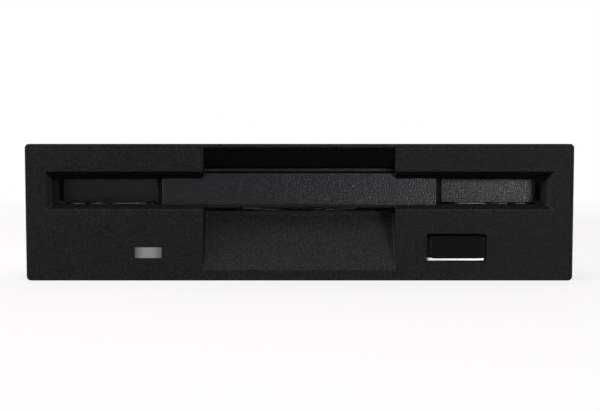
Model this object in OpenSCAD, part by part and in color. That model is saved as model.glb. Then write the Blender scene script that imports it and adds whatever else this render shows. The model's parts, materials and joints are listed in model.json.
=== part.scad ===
/* [Drive] */
// Thickness of the cast side walls
wall_t = 2.4; // [2.2:0.1:2.8]
// Height of the front above its slot
over_slot = 5.2; // [5:0.1:6.5]
// Depth of the connectors at the rear
header_l = 10; // [9.5:0.5:14]

/* [Disk] */
// Width of the disk that goes in
disk_w = 90; // [89:0.1:90.2]
// Thickness of the disk
disk_t = 3.3; // [3:0.1:3.4]
// Length of the disk
disk_l = 94; // [93:0.1:94.5]
// Height of the middle of the disk as it goes in
disk_z = 16.5; // [16.4:0.05:16.6]
// How far the disk drops onto the spindle
disk_drop = 3; // [2.8:0.05:3.05]
// How far the eject slide travels
slide_travel = 6; // [5.6:0.1:6.1]

/* [Bezel] */
// Thickness of the bezel's front
bezel_t = 2.2; // [2:0.05:2.3]
// Thickness of the bezel's rim
bezel_wall = 1.8; // [1.5:0.1:2]
// Depth of the bezel, front to back
bezel_d = 7; // [6.6:0.1:7.4]
// Radius of the bezel's corners
bezel_r = 0.8; // [0.5:0.1:1.2]
// Height of the slot behind its bevels
slot_h = 4.7; // [4.5:0.05:4.8]
// Room beside the disk in the slot
slot_side_gap = 1; // [0.9:0.05:1.2]
// Width of the bevels at the slot's ends
slot_bevel = 1; // [0.7:0.05:1.2]
// Height of the bevel above the slot
slot_bevel_top = 1.35; // [1:0.05:1.5]
// Height of the bevel below the slot
slot_bevel_low = 0.95; // [0.7:0.05:1]
// Depth of the bevels
slot_bevel_d = 1.1; // [0.9:0.05:1.2]
// Width of the finger scoop and of the recess above the slot
scoop_w = 35.7; // [30:0.5:38]
// Depth of the finger scoop at its top
scoop_d = 5; // [4:0.1:5.4]
// Height of the scoop's lower edge
scoop_z = 2.1; // [1.8:0.1:3]
// Depth of the recess above the slot
recess_d = 1.5; // [1:0.05:1.6]

/* [Button and lamp] */
// Distance of the button's middle from the centre
button_x = 29.2; // [28.8:0.1:29.6]
// Width of the button
button_w = 10.2; // [9.8:0.1:10.6]
// Height of the button
button_h = 4.1; // [3.9:0.1:4.2]
// How far the button stands out of the bezel
button_out = 1.2; // [0.6:0.1:2]
// Clearance round the button
button_gap = 0.4; // [0.3:0.05:0.5]
// Distance of the lamp window's middle from the centre
lamp_x = -28.15; // [-32:0.05:-26]
// Height of the lamp window's middle
lamp_z = 5.2; // [4.8:0.1:5.4]
// Width of the lamp window
lamp_w = 5.2; // [4.4:0.1:5.8]
// Height of the lamp window
lamp_h = 2.2; // [1.8:0.1:2.6]

/* [Flap] */
// Width of the face of the raised panel in the middle of the flap
panel_w = 51.3; // [47:0.1:53]
// Thickness of the flap
flap_t = 1.2; // [1:0.05:1.3]
// Radius of the flap's hinge pins
flap_pin_r = 0.6; // [0.5:0.05:0.65]

/* [Sheet metal and castings] */
// Thickness of the top cover
cover_t = 0.6; // [0.5:0.05:0.7]
// Thickness of the slide's steel
slide_t = 0.8; // [0.7:0.05:0.85]
// Thickness of the cradle's steel
cradle_t = 0.7; // [0.6:0.05:0.75]
// Thickness of the cast floor
floor_t = 1.4; // [1.2:0.05:1.6]
// Radius of the pins that carry the cradle
cradle_pin_r = 1.1; // [0.9:0.05:1.15]

/* [Spindle and motor] */
// Distance of the spindle behind the bezel's face
spindle_y = 56.5; // [56:0.1:57]
// Radius of the motor's rotor
rotor_r = 25; // [22:0.5:26]
// Height of the rotor's cup
rotor_h = 4.8; // [4.4:0.1:4.9]
// Radius of the spindle shaft
shaft_r = 2; // [1.5:0.1:2.2]
// Radius of the hub plate under the disk
hub_r = 12.5; // [11:0.1:13]
// Number of the stator's teeth
stator_teeth = 12; // [9:1:15]

/* [Heads] */
// Distance of the heads behind the bezel's face at rest
head_y = 96; // [95.6:0.1:96.4]
// How far the heads travel towards the spindle
head_travel = 14.8; // [14:0.1:15]
// Radius of the guide rod
rod_r = 1.5; // [1.2:0.05:1.6]
// Distance of the guide rod from the centre
rod_x = -10; // [-10.3:0.05:-9.8]
// Distance of the lead screw from the centre
screw_x = 13; // [12.6:0.1:13.6]
// Radius of the lead screw
screw_r = 1.4; // [1.2:0.05:1.45]
// Radius of the stepping motor's case
stepper_r = 6; // [5.5:0.1:6.2]

/* [Mounts] */
// Radius of the tapped mounting holes
mount_r = 1.25; // [1.2:0.05:1.5]
// Distance of the first side holes behind the bezel's face
side_hole_y = 31; // [30:0.5:34]
// Distance between the side holes
side_hole_pitch = 60; // [56:0.5:62]
// Height of the side holes
side_hole_z = 5; // [4.8:0.1:5.2]
// Distance of the first bottom holes behind the bezel's face
base_hole_y = 25; // [24.5:0.1:25.5]
// Distance between the bottom holes, front to back
base_hole_pitch = 60; // [58:0.5:61]
// Distance between the bottom holes, side to side
base_hole_span = 84; // [83:0.2:84.4]

/* [Hidden] */
$fn = 48;
eps = 0.01;
cut = 1;

// Clearances
fit = 0.05;
pin_gap = 0.15;
run_gap = 0.3;
side_run = 0.5;

// Widths, from the disk outwards
cradle_in = disk_w / 2 + 0.5;
cradle_out = cradle_in + cradle_t;
slide_in = cradle_out + side_run;
slide_out = slide_in + slide_t;
chassis_in = slide_out + 0.6;
chassis_out = chassis_in + wall_t;
drive_w = 2 * (chassis_out + 0.3);
flange_in = chassis_out - cover_t;

// Heights of the disk and what carries it
disk_low = disk_z - disk_t / 2;
disk_top = disk_z + disk_t / 2;
media_z = disk_z - disk_drop - 0.2;
floor_top = disk_low - disk_drop - 1.85;
floor_low = floor_top - floor_t;
slide_z = floor_top + 0.2;
cradle_low = disk_low - 1.25;
cradle_lip_top = cradle_low + cradle_t;
cradle_roof = cradle_lip_top + 4.4;
cradle_top = cradle_roof + cradle_t;
slot_z0 = disk_z - slot_h / 2;
slot_z1 = disk_z + slot_h / 2;
slot_front_z0 = slot_z0 - slot_bevel_low;
slot_front_z1 = slot_z1 + slot_bevel_top;
drive_h = slot_front_z1 + over_slot;
cover_top = drive_h - 0.2;
cover_low = cover_top - cover_t;
rear_floor_top = floor_top - 4.2;
rear_floor_low = rear_floor_top - floor_t;

// Slot and flap
slot_half = disk_w / 2 + slot_side_gap;
slot_front_half = slot_half + slot_bevel;
duct_end = bezel_t + 2.3;
duct_t = 0.6;
hinge_y = bezel_t + 1.2;
hinge_z = slot_front_z1 + 0.4;
hinge_r = 0.9;
flap_half = slot_half - 0.7;
flap_y = duct_end + run_gap;
flap_back = flap_y + flap_t;
flap_low = slot_z0 + pin_gap;
panel_y = slot_bevel_d + 0.35;
panel_low = slot_front_z0 + run_gap;
panel_top = slot_front_z1 - 0.15;
panel_slope = 1.5;
panel_rise = 0.75;
panel_wall = 1.1;
panel_room = panel_w / 2 + panel_slope + run_gap;
spring_notch = 3.6;
lip_t = 1;
lug_half = flap_half + run_gap;
lug_t = 1.7;
lug_r = 1.2;
recess_top = drive_h - 0.6;
recess_low = slot_front_z1 + 0.9;
scoop_top = slot_front_z0 - 0.9;
scoop_wall = 1.1;
scoop_lip = 0.55;

// Button
button_z0 = 4.25;
button_z1 = button_z0 + button_h;
button_back = slide_travel + bezel_t + 0.8;
button_r = 0.7;
button_wall = 0.95;
stud_y = button_back - 2.5;
stud_r = 0.8;
tongue_t = 0.6;
tongue_w = button_w + 0.2;
tongue_x = [button_x - tongue_w / 2, button_x + tongue_w / 2];
tongue_front = 0.6;
tongue_bend_y = 2 * slide_travel + 1.4;

// Slide, in its rest place
slide_front = 26;
slide_rear = 96;
slide_band = 7;
slide_wall_front = 16;
slide_wall_top = 18.2;
slide_inner = cradle_in - 3.1;
guide_x = 38;
guide_y = [44, 72];
guide_r = 1.5;
spring_x = 30;
spring_window = 2;
spring_window_y = 49;
spring_window_l = 25;
spring_post_y = 50;
spring_post_l = 1.5;
spring_tab_y = spring_window_y + spring_window_l;
spring_tab_half = 1.2;
finger_x = -14.2;
finger_w = 1.4;
finger_end = slide_rear + 21.2;
head_room_y = spindle_y + 12;
front_hole_x = 22;
front_hole_y = [34, 40];
rear_hole_x = [-25, 28];
rear_hole_y = [83, 88];
wall_hole_z = slide_z + 4.2;
pin_front_y = 22;
pin_rear_y = 82;
cradle_pin_z = cradle_low + 2;
pin_end = slide_out + 1.8;
cradle_front = 14;
cradle_rear = 91;
lip_w = 2.5;
lip_front = slide_front + slide_band + 1;
lip_rear = slide_rear - 2 * slide_band - 2;

// Chassis
step_y = head_y - 5.4;
sleeve_l = 13;
sleeve_y = head_y + head_travel - 2.3;
cable_y = sleeve_y + sleeve_l;
rod_front = step_y - 2.4;
rod_rear = cable_y + 5.7;
rear_floor_end = rod_rear + 6.4;
header_y = rear_floor_end + 2.4;
drive_l = header_y + header_l;
shoulder_z = cover_low - 5.6;
head_slot_half = 8.5;
head_gap_half = 6;
head_gap_l = 8;
head_slot_y = head_y - head_travel - 4.7;
notch_half = tongue_w / 2 + 1;
notch_y = tongue_bend_y + tongue_t + 1.5;
hook_in = chassis_in + 0.9;
hook_w = 6;
hook_l = 6;
hook_z = 10;
nib_half = 1.4;
nib_y = [bezel_d + 2.3, bezel_d + 4.4];

side_boss_r = 3;
side_boss_in = chassis_in - 2.6;
wall_window_y = [drive_l - 26, drive_l - 6];
wall_slot_y = step_y + 9.4;
rib_x = 36;
rib_low = 5.2;
rib_t = 1.2;
stepper_room = stepper_r + 1;
cross_half = 1.15;
cross_t = 0.2;

cover_screw_y = [24, 112];
cover_screw_z = cover_low - 3;
cover_screw_r = 1;

// Motor and boards
board_top = floor_low - 0.4;
board_t = 1.2;
board_low = board_top - board_t;
board_half = slide_in - 1.1;
board_front = 10;
rotor_low = 1.8;
rotor_t = 0.8;
magnet_r = rotor_r - rotor_t;
magnet_t = 2.4;
stator_r = magnet_r - magnet_t - 0.4;
stator_z = rotor_low + rotor_t + 1.6;
stator_t = 1.5;
bearing_r = 5;
bearing_low = rotor_low + rotor_t + 0.4;
hub_z = floor_top + 1;
hub_t = 0.8;
main_z = 1.6;
main_t = 1.6;
main_top = main_z + main_t;
main_front = step_y + 1.6;
main_notch = 6;

// Heads and their drive
rod_z = rear_floor_top + 3.2;
sleeve_r = rod_r + 1.2;
screw_z = rear_floor_top + 3.6;
bearing_front = step_y + floor_t + run_gap;
screw_front = bearing_front + 0.8;
stepper_y = rod_rear - 3;
stepper_l = 14;
arm_hinge_y = head_y + 23;
arm_hinge_z = media_z + 1.7;
arm_angle = 12.5;
arm_half = 5.5;
clamp_top = rod_z + rod_r + 0.7;

// Trigger lever
lever_pivot = [rod_x - 11, step_y + 30.4];
lever_r = 27;
lever_angle = -80;
lever_z = slide_z + slide_t + 0.3;
lever_t = 1;
lever_tip_r = 2;
lever_half = 1.9;
lever_boss_r = 3.4;
lever_boss_top = lever_z + 2.2;
lever_bore_r = 1.5;
nose_r = 0.9;
nose_angle = -62;
nose_reach = 8.5;

// Rear connectors
header_x = -21;
pin_columns = 17;
header_end = 2.68;
header_h = 8.8;
header_wall = 1.2;
header_back = 2.2;
key_half = 2.2;
pin_pitch = 2.54;
header_w = (pin_columns - 1) * pin_pitch + 2 * header_end;
pin_side = 0.64;
power_x = 34;
power_w = 13;
power_h = 6.4;
power_y = header_y + 1;
power_pitch = 2.5;
key_x = 2.6;

// Switches
switch_y = 15;
switch_w = 5;
switch_d = 5.4;
switch_top = disk_low - disk_drop - 0.45;
switch_well = board_top + 0.5;
plunger_r = 0.9;
plunger_travel = 1.2;
plunger_top = switch_top + plunger_travel + 0.2;
disk_switch_x = -33;
protect_switch_x = -40;
density_switch_x = 40;

// The drive is drawn with its front at y = 0 and placed about the middle of its length
mid_y = (drive_l - button_out) / 2;
module placed() {
    translate([0, -mid_y, 0]) children();
}

// A box from its lowest corner to its highest
module block(a, b) {
    translate(a) cube(b - a);
}

// A flat shape drawn across (x, z), from y = a to y = b
module across_y(a, b) {
    translate([0, b, 0]) rotate([90, 0, 0]) linear_extrude(b - a) children();
}

// A flat shape drawn along (y, z), from x = a to x = b
module across_x(a, b) {
    translate([a, 0, 0]) rotate([90, 0, 90]) linear_extrude(b - a) children();
}

// A flat shape drawn in plan, from z = a to z = b
module across_z(a, b) {
    translate([0, 0, a]) linear_extrude(b - a) children();
}

// A round bar along each axis
module bar_y(x, z, r, a, b) {
    translate([x, a, z]) rotate([-90, 0, 0]) cylinder(h = b - a, r = r);
}
module bar_x(y, z, r, a, b) {
    translate([a, y, z]) rotate([0, 90, 0]) cylinder(h = b - a, r = r);
}
module bar_z(x, y, r, a, b) {
    translate([x, y, a]) cylinder(h = b - a, r = r);
}

// A rectangle with round corners
module round_rect(a, b, r) {
    translate([a.x + r, a.y]) square([b.x - a.x - 2 * r, b.y - a.y]);
    translate([a.x, a.y + r]) square([b.x - a.x, b.y - a.y - 2 * r]);
    for (x = [a.x + r, b.x - r], y = [a.y + r, b.y - r])
        translate([x, y]) circle(r, $fn = 24);
}

// A slot with round ends between two points that lie along x or along y
module long_hole(p, q, r) {
    side = q.y == p.y ? [0, r] : [r, 0];
    translate(p) circle(r);
    translate(q) circle(r);
    translate([min(p.x, q.x), min(p.y, q.y)] - side) square([abs(q.x - p.x), abs(q.y - p.y)] + 2 * side);
}

// The same between points that lie aslant, with its ends as short chords
module slant_hole(p, q, r, steps = 14) {
    a = atan2(q.y - p.y, q.x - p.x);
    polygon([
        for (i = [0:steps]) p + r * [cos(a + 90 + 180 * i / steps), sin(a + 90 + 180 * i / steps)],
        for (i = [0:steps]) q + r * [cos(a - 90 + 180 * i / steps), sin(a - 90 + 180 * i / steps)]
    ]);
}

module both_sides() {
    children();
    mirror([1, 0, 0]) children();
}

// A bent bar of round wire through points, swept as one closed tube
function unit(v) = v / norm(v);
function heading(p, i) = unit(p[min(i + 1, len(p) - 1)] - p[max(i - 1, 0)]);
function ring(c, d, side, r, n) =
    let (u = unit(cross(d, side)), v = cross(d, u))
    [for (k = [0:n - 1]) c + r * (u * cos(360 * k / n) + v * sin(360 * k / n))];
module wire(p, side, r, n = 6) {
    m = len(p);
    rings = [for (i = [0:m - 1]) each ring(p[i], heading(p, i), side, r, n)];
    walls = [
        for (i = [0:m - 2], k = [0:n - 1])
            let (a = i * n + k, b = i * n + (k + 1) % n)
            each [[a, b, b + n], [a, b + n, a + n]]
    ];
    caps = [for (k = [1:n - 2]) each [[0, k + 1, k], [(m - 1) * n, (m - 1) * n + k, (m - 1) * n + k + 1]]];
    polyhedron(points = rings, faces = concat(walls, caps), convexity = 8);
}

// Bezel: a hollow front with the slot, its duct, the scoop, the recess and two windows
module bezel_outline(inset, r) {
    round_rect([inset - drive_w / 2, inset], [drive_w / 2 - inset, drive_h - inset], r);
}
module slot_cut() {
    w = slot_front_half;
    intersection() {
        across_z(slot_front_z0 - cut, slot_front_z1 + cut) polygon([
            [-w, -cut], [w, -cut], [w, 0], [slot_half, slot_bevel_d], [slot_half, bezel_d],
            [-slot_half, bezel_d], [-slot_half, slot_bevel_d], [-w, 0]
        ]);
        across_x(-w, w) polygon([
            [-cut, slot_front_z0], [0, slot_front_z0], [slot_bevel_d, slot_z0], [bezel_d, slot_z0],
            [bezel_d, slot_z1], [slot_bevel_d, slot_z1], [0, slot_front_z1], [-cut, slot_front_z1]
        ]);
    }
}
module scoop_shell() {
    half = scoop_w / 2 + scoop_wall;
    back = scoop_d + scoop_wall;
    foot = scoop_z - 0.9;
    lip = scoop_top + scoop_lip;
    across_x(-half, half) polygon([
        [bezel_t - cut, foot], [bezel_t - 0.8, foot], [back, scoop_top - scoop_wall], [back, lip],
        [scoop_d, lip], [scoop_d, scoop_top], [bezel_t - cut, scoop_top]
    ]);
}
module scoop_cut() {
    across_x(-scoop_w / 2, scoop_w / 2) polygon([
        [-cut, scoop_z], [0, scoop_z], [scoop_d, scoop_top], [scoop_d, panel_low + 0.2], [-cut, panel_low + 0.2]
    ]);
}
module recess_cut() {
    across_x(-scoop_w / 2, scoop_w / 2) polygon([
        [-cut, recess_top], [0, recess_top], [recess_d, recess_low], [bezel_t + cut, recess_low],
        [bezel_t + cut, slot_z1], [-cut, slot_z1]
    ]);
}
module bezel_hook() {
    difference() {
        block([hook_in, bezel_d - eps, hook_z - hook_w / 2],
            [chassis_out - 0.2, bezel_d + hook_l, hook_z + hook_w / 2]);
        block([chassis_in, nib_y[0] - run_gap, hook_z - nib_half - 0.2],
            [chassis_out + cut, nib_y[1] + 0.2, hook_z + nib_half + 0.2]);
    }
}
module front_bezel() placed() color("#232325") {
    duct_half = slot_half + duct_t;
    difference() {
        union() {
            difference() {
                across_y(0, bezel_d) bezel_outline(0, bezel_r);
                across_y(bezel_t, bezel_d + cut) bezel_outline(bezel_wall, bezel_r / 2);
            }
            block([-duct_half, bezel_t - eps, slot_z0 - duct_t], [duct_half, duct_end, slot_z1 + duct_t]);
            both_sides() block([lug_half, bezel_t - eps, hinge_z - lug_r],
                [lug_half + lug_t, hinge_y + lug_r, hinge_z + lug_r]);
            both_sides() bezel_hook();
            scoop_shell();
        }
        slot_cut();
        scoop_cut();
        recess_cut();
        // Room for the raised panel of the flap behind the slot's lips
        block([-panel_room, lip_t, scoop_top + scoop_lip], [panel_room, bezel_d, slot_front_z1 + 0.1]);
        bar_x(hinge_y, hinge_z, flap_pin_r + fit, -lug_half - 1.2, lug_half + 1.2);
        // The button's hole also lets the tongue through below it
        across_y(-cut, bezel_t + cut) round_rect(
            [button_x - button_w / 2 - button_gap, button_z0 - button_gap - 0.3],
            [button_x + button_w / 2 + button_gap, button_z1 + button_gap], 0.3);
        across_y(-cut, bezel_t + cut) lamp_outline(0, 0.15);
    }
}

// Lamp window: its lens fills the hole and has a flange behind it
module lamp_outline(grow, r) {
    half = [lamp_w / 2 + grow, lamp_h / 2 + grow];
    translate([lamp_x, lamp_z]) round_rect(-half, half, r);
}
module lamp_lens() placed() color("#8f9090") {
    across_y(0.1, bezel_t) lamp_outline(-fit, 0.15);
    across_y(bezel_t, bezel_t + 0.8) lamp_outline(0.9, 0.4);
}

// Lamp: a small round-nosed light on two legs under the front of the motor board
module lamp() placed() {
    body_y = bezel_t + 1.2;
    rim_y = body_y + 2;
    leg_y = rim_y + 0.8;
    foot_y = switch_y - 3;
    h = 0.2;
    color("#cfd8c8") {
        bar_y(lamp_x, lamp_z, 1, body_y, rim_y);
        bar_y(lamp_x, lamp_z, 1.25, rim_y, leg_y);
    }
    color("silver") for (x = [lamp_x - 0.7, lamp_x + 0.7]) {
        block([x - h, leg_y, lamp_z - h], [x + h, foot_y, lamp_z + h]);
        block([x - h, foot_y - 2 * h, lamp_z - h], [x + h, foot_y, board_low]);
    }
}

// Flap: a hinged door with a raised, hollow-backed panel in the middle, whose ends slope back
module raised_panel() {
    half = panel_w / 2;
    foot = half + panel_slope;
    intersection() {
        across_y(panel_y, flap_back) polygon([
            [-half, panel_low], [half, panel_low], [foot, panel_low + panel_rise],
            [foot, panel_top], [-foot, panel_top], [-foot, panel_low + panel_rise]
        ]);
        across_z(panel_low - cut, panel_top + cut) polygon([
            [-half, panel_y], [half, panel_y], [foot, flap_y], [foot, flap_back + cut],
            [-foot, flap_back + cut], [-foot, flap_y]
        ]);
    }
}
module dust_flap() placed() color("#242426") {
    web = hinge_r - 0.3;
    bar_x(hinge_y, hinge_z, hinge_r, spring_notch - flap_half, flap_half);
    bar_x(hinge_y, hinge_z, flap_pin_r, -lug_half - 1, lug_half + 1);
    difference() {
        union() {
            block([-flap_half, flap_y, flap_low], [flap_half, flap_back, hinge_z]);
            block([-flap_half, hinge_y, hinge_z - web], [flap_half, flap_back, hinge_z + web]);
            raised_panel();
        }
        block([panel_wall - panel_w / 2, panel_y + panel_wall, panel_low + panel_wall],
            [panel_w / 2 - panel_wall, flap_back + cut, panel_top - panel_wall]);
        // The spring's notch beside the left hinge pin
        block([-flap_half - cut, hinge_y - 2, hinge_z - 0.75],
            [spring_notch - flap_half, flap_back + cut, hinge_z + 2]);
    }
}

// A coil about the x axis, with its two straight ends
function coil_x(c, r, pitch, turns, start, steps = 8) = [
    for (i = [0:turns * steps])
        let (a = start + i * 360 / steps)
        [c.x + pitch * i / steps, c.y + r * cos(a), c.z + r * sin(a)]
];
function coil_y(c, r, pitch, turns, start, steps = 8) = [
    for (i = [0:turns * steps])
        let (a = start + i * 360 / steps)
        [c.x + r * cos(a), c.y + pitch * i / steps, c.z + r * sin(a)]
];
function self_gap(p, r, steps = 8) =
    min([for (i = [0:len(p) - 1], j = [i + 5:1:min(i + 2 * steps, len(p) - 1)]) norm(p[i] - p[j])]) - 2 * r;

spring_wire = 0.17;
coil_pitch = 0.8;
flap_coil = coil_x([0.5 - flap_half, hinge_y, hinge_z], flap_pin_r + 0.3, coil_pitch, 3, 0);
module flap_spring() placed() color("#b9bcc0") {
    wire(flap_coil, [1, 0, 0], spring_wire);
}

// Button: a hollow cap that stands on the slide's tongue
module eject_button() placed() color("#101011") {
    x0 = button_x - button_w / 2;
    x1 = button_x + button_w / 2;
    difference() {
        across_y(-button_out, button_back) round_rect([x0, button_z0], [x1, button_z1], button_r);
        across_y(0.6, button_back + cut) round_rect([x0 + button_wall, button_z0 + button_wall],
            [x1 - button_wall, button_z1 - button_wall], button_r / 2);
    }
    bar_z(button_x, stud_y, stud_r, button_z0 - tongue_t, button_z0 + 0.5);
}

// Slide: a pressed steel plate with ramped side walls and the button's tongue
module slide_plan() {
    x0 = -slide_inner;
    x1 = slide_inner;
    difference() {
        union() {
            translate([x0, slide_front]) square([x1 - x0, slide_rear - slide_front]);
            for (y = [slide_front, slide_rear - slide_band])
                translate([-slide_out, y]) square([2 * slide_out, slide_band]);
            translate([tongue_x[0], tongue_bend_y]) square([tongue_w, slide_front - tongue_bend_y + eps]);
        }
        long_hole([0, spindle_y], [0, spindle_y + slide_travel], hub_r + 2.5);
        translate([finger_x + 0.1, head_room_y]) square([screw_x + 3.9 - finger_x, slide_rear]);
        for (x = [-guide_x, guide_x], y = guide_y) long_hole([x, y], [x, y + slide_travel], guide_r + pin_gap);
        for (x = [-spring_x, spring_x])
            translate([x - spring_window, spring_window_y]) square([2 * spring_window, spring_window_l]);
        for (x = [-front_hole_x, front_hole_x]) long_hole([x, front_hole_y[0]], [x, front_hole_y[1]], 4);
        for (x = rear_hole_x) long_hole([x, rear_hole_y[0]], [x, rear_hole_y[1]], 3.5);
    }
}
module slide_wall() {
    across_x(slide_in, slide_out) difference() {
        translate([slide_wall_front, slide_z]) square([slide_rear - slide_wall_front, slide_wall_top - slide_z]);
        for (y = [pin_front_y, pin_rear_y])
            slant_hole([y, cradle_pin_z], [y + slide_travel, cradle_pin_z - disk_drop], cradle_pin_r + pin_gap);
        long_hole([pin_front_y + 16, wall_hole_z], [pin_rear_y - 12, wall_hole_z], 2);
    }
}
module eject_slide() placed() color("#c9cbcd") {
    top = slide_z + slide_t;
    difference() {
        union() {
            across_z(slide_z, top) slide_plan();
            both_sides() slide_wall();
            // The tongue steps down behind the bezel and runs forward under the button
            block([tongue_x[0], tongue_bend_y, button_z0 - tongue_t],
                [tongue_x[1], tongue_bend_y + tongue_t, top]);
            block([tongue_x[0], tongue_front, button_z0 - tongue_t], [tongue_x[1], tongue_bend_y + eps, button_z0]);
            for (x = [-spring_x, spring_x]) block([x - spring_tab_half, spring_tab_y - eps, floor_low + 0.2],
                [x + spring_tab_half, spring_tab_y + slide_t, top]);
            // The finger that the trigger lever holds back
            block([finger_x - finger_w, slide_rear - slide_band, slide_z], [finger_x, finger_end, top]);
            block([finger_x - finger_w - 1, finger_end - 2, slide_z], [finger_x - finger_w + eps, finger_end, top]);
        }
        bar_z(button_x, stud_y, stud_r, button_z0 - cut, button_z0 + eps);
    }
}

// Cradle: a folded steel tray that carries the disk on its lips, on four pins
cradle_slot_lead = 6;
module disk_cradle() placed() color("#d3d5d6") {
    across_z(cradle_roof, cradle_top) difference() {
        translate([-cradle_out, cradle_front]) square([2 * cradle_out, cradle_rear - cradle_front]);
        translate([-head_slot_half, head_slot_y - cradle_slot_lead]) square([2 * head_slot_half, cradle_rear]);
        // Lightening holes about the spindle, beside the heads and along the front
        translate([0, spindle_y - 22]) circle(9);
        both_sides() {
            long_hole([27, 34], [27, 62], 7);
            translate([34, 72]) square([4, 12]);
            long_hole([16, 22], [25.6, 22], 2.4);
        }
    }
    side_low = cradle_lip_top + 0.1;
    both_sides() {
        across_x(cradle_in, cradle_out) polygon([
            [cradle_front, cradle_roof + eps], [cradle_front, side_low], [lip_front - 0.5, side_low],
            [lip_front, cradle_low], [lip_rear, cradle_low], [lip_rear + 0.5, side_low],
            [cradle_rear, side_low], [cradle_rear, cradle_roof + eps]
        ]);
        block([cradle_in - lip_w, lip_front, cradle_low], [cradle_in + eps, lip_rear, cradle_lip_top]);
        for (y = [pin_front_y, pin_rear_y]) bar_x(y, cradle_pin_z, cradle_pin_r, cradle_out - eps, pin_end);
    }
}

eject_coil_r = 0.9;
eject_coil_z = floor_low + eject_coil_r + 0.45;
eject_turns = 14.5;
eject_coil_y = spring_post_y + spring_post_l + 0.4;
eject_pitch = (spring_tab_y - 0.35 - eject_coil_y) / eject_turns;
eject_coils = [
    for (x = [-spring_x, spring_x])
        coil_y([x, eject_coil_y, eject_coil_z], eject_coil_r, eject_pitch, eject_turns, 0)
];
module eject_springs() placed() color("#b9bcc0") for (p = eject_coils) {
    wire(p, [0, 1, 0], spring_wire);
}

// Trigger lever: swung by the disk's leading edge, its nose holds the slide's finger
function polar(c, r, a) = [c.x + r * cos(a), c.y + r * sin(a)];
module trigger_lever() placed() color("#e4e2da") {
    tip = polar(lever_pivot, lever_r, lever_angle);
    nose = polar(lever_pivot, nose_reach, nose_angle);
    difference() {
        union() {
            across_z(lever_z, lever_z + lever_t) slant_hole(lever_pivot, tip, lever_half);
            bar_z(lever_pivot.x, lever_pivot.y, lever_boss_r, slide_z, lever_boss_top);
            across_z(slide_z, lever_z + lever_t) slant_hole(lever_pivot, nose, nose_r);
            bar_z(tip.x, tip.y, lever_tip_r, lever_z, disk_top - 0.3);
        }
        bar_z(lever_pivot.x, lever_pivot.y, lever_bore_r + fit, slide_z - cut, lever_boss_top + cut);
    }
}
module trigger_post() placed() color("#a9adb1") {
    shoulder = slide_z - 0.1;
    head = lever_boss_top + 0.1;
    bar_z(lever_pivot.x, lever_pivot.y, lever_bore_r + 1.1, rear_floor_top, shoulder);
    bar_z(lever_pivot.x, lever_pivot.y, lever_bore_r, shoulder, head);
    bar_z(lever_pivot.x, lever_pivot.y, lever_bore_r + 0.7, head, head + 0.5);
}

// Chassis: one casting with side walls, a front floor, a lower rear floor and its bosses
module floor_cuts() {
    // Notch for the tongue, the windows of springs and switches, the heads and the spindle
    translate([button_x - notch_half, 0]) square([2 * notch_half, notch_y]);
    for (x = [-spring_x, spring_x]) difference() {
        translate([x - spring_window, spring_window_y]) square([2 * spring_window, spring_window_l + 2]);
        translate([x - spring_window, spring_post_y]) square([2 * spring_window, spring_post_l]);
    }
    for (x = [disk_switch_x, protect_switch_x, density_switch_x])
        translate([x - switch_w / 2 - fit, switch_y - switch_d / 2 - fit])
            square([switch_w + 2 * fit, switch_d + 2 * fit]);
    translate([-head_slot_half, head_slot_y]) square([2 * head_slot_half, step_y]);
    translate([0, spindle_y]) circle(bearing_r);
    for (x = [-front_hole_x, front_hole_x]) long_hole([x, 26], [x, 34], 5);
    both_sides() slant_hole([25.2, 82], [31.2, 76], 3);
}
module pin_groove(y) {
    low = cradle_pin_z - disk_drop - cradle_pin_r - pin_gap;
    half = cradle_pin_r + pin_gap;
    bar_x(y, low + half, half, chassis_in - cut, pin_end + 0.2);
    block([chassis_in - cut, y - half, low + half], [pin_end + 0.2, y + half, cover_low + cut]);
}
module side_wall() {
    difference() {
        union() {
            block([chassis_in, bezel_d, 0], [chassis_out, drive_l, shoulder_z]);
            block([chassis_in, bezel_d, shoulder_z - eps], [flange_in, drive_l, cover_low]);
            for (y = [side_hole_y, side_hole_y + side_hole_pitch])
                bar_x(y, side_hole_z, side_boss_r, side_boss_in, chassis_out);
        }
        for (y = [pin_front_y, pin_rear_y]) pin_groove(y);
        block([hook_in - pin_gap, bezel_d - cut, hook_z - hook_w / 2 - pin_gap],
            [chassis_out + cut, bezel_d + hook_l + pin_gap, hook_z + hook_w / 2 + pin_gap]);
        for (y = cover_screw_y) bar_x(y, cover_screw_z, cover_screw_r, chassis_in + 0.6, chassis_out + cut);
        // Openings that lighten the rear of the wall
        block([chassis_in - cut, wall_window_y[0], shoulder_z - 5], [chassis_out + cut, wall_window_y[1], cover_low + cut]);
        block([chassis_in - cut, wall_slot_y, 8.5], [chassis_out + cut, wall_slot_y + 16, 13.5]);
    }
    // The nib that the bezel's hook snaps over
    block([hook_in - pin_gap - eps, nib_y[0], hook_z - nib_half], [chassis_out - 0.3, nib_y[1], hook_z + nib_half]);
}
module base_column(y) {
    difference() {
        bar_z(base_hole_span / 2, y, 3.2, 0, floor_low + eps);
        bar_z(base_hole_span / 2, y, mount_r, -cut, floor_low - 1);
    }
}
module rod_boss(y0, y1) {
    difference() {
        block([rod_x - rod_boss_half, y0, rear_floor_top - eps], [rod_x + rod_boss_half - 0.4, y1, rod_z + rod_r]);
        bar_y(rod_x, rod_z, rod_r, y0 - cut, y1 + cut);
        block([rod_x - rod_r, y0 - cut, rod_z], [rod_x + rod_boss_half, y1 + cut, rod_z + 2 * rod_r]);
    }
}
main_half = chassis_in - 3.6;
main_boss_x = main_half - 3.5;
main_boss_y = [step_y + 13.4, rear_floor_end - 4];
rear_slot_x = main_boss_x - 7;
board_boss = [28, 24, 82];
boss_r = 2.4;
board_screw_r = 0.9;
rod_boss_y = [rod_front + 0.3, rod_rear - 4.5];
rod_boss_l = [3.7, 4.3];
rod_boss_half = 3.6;
rod_screw_x = rod_x - 2.6;
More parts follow.
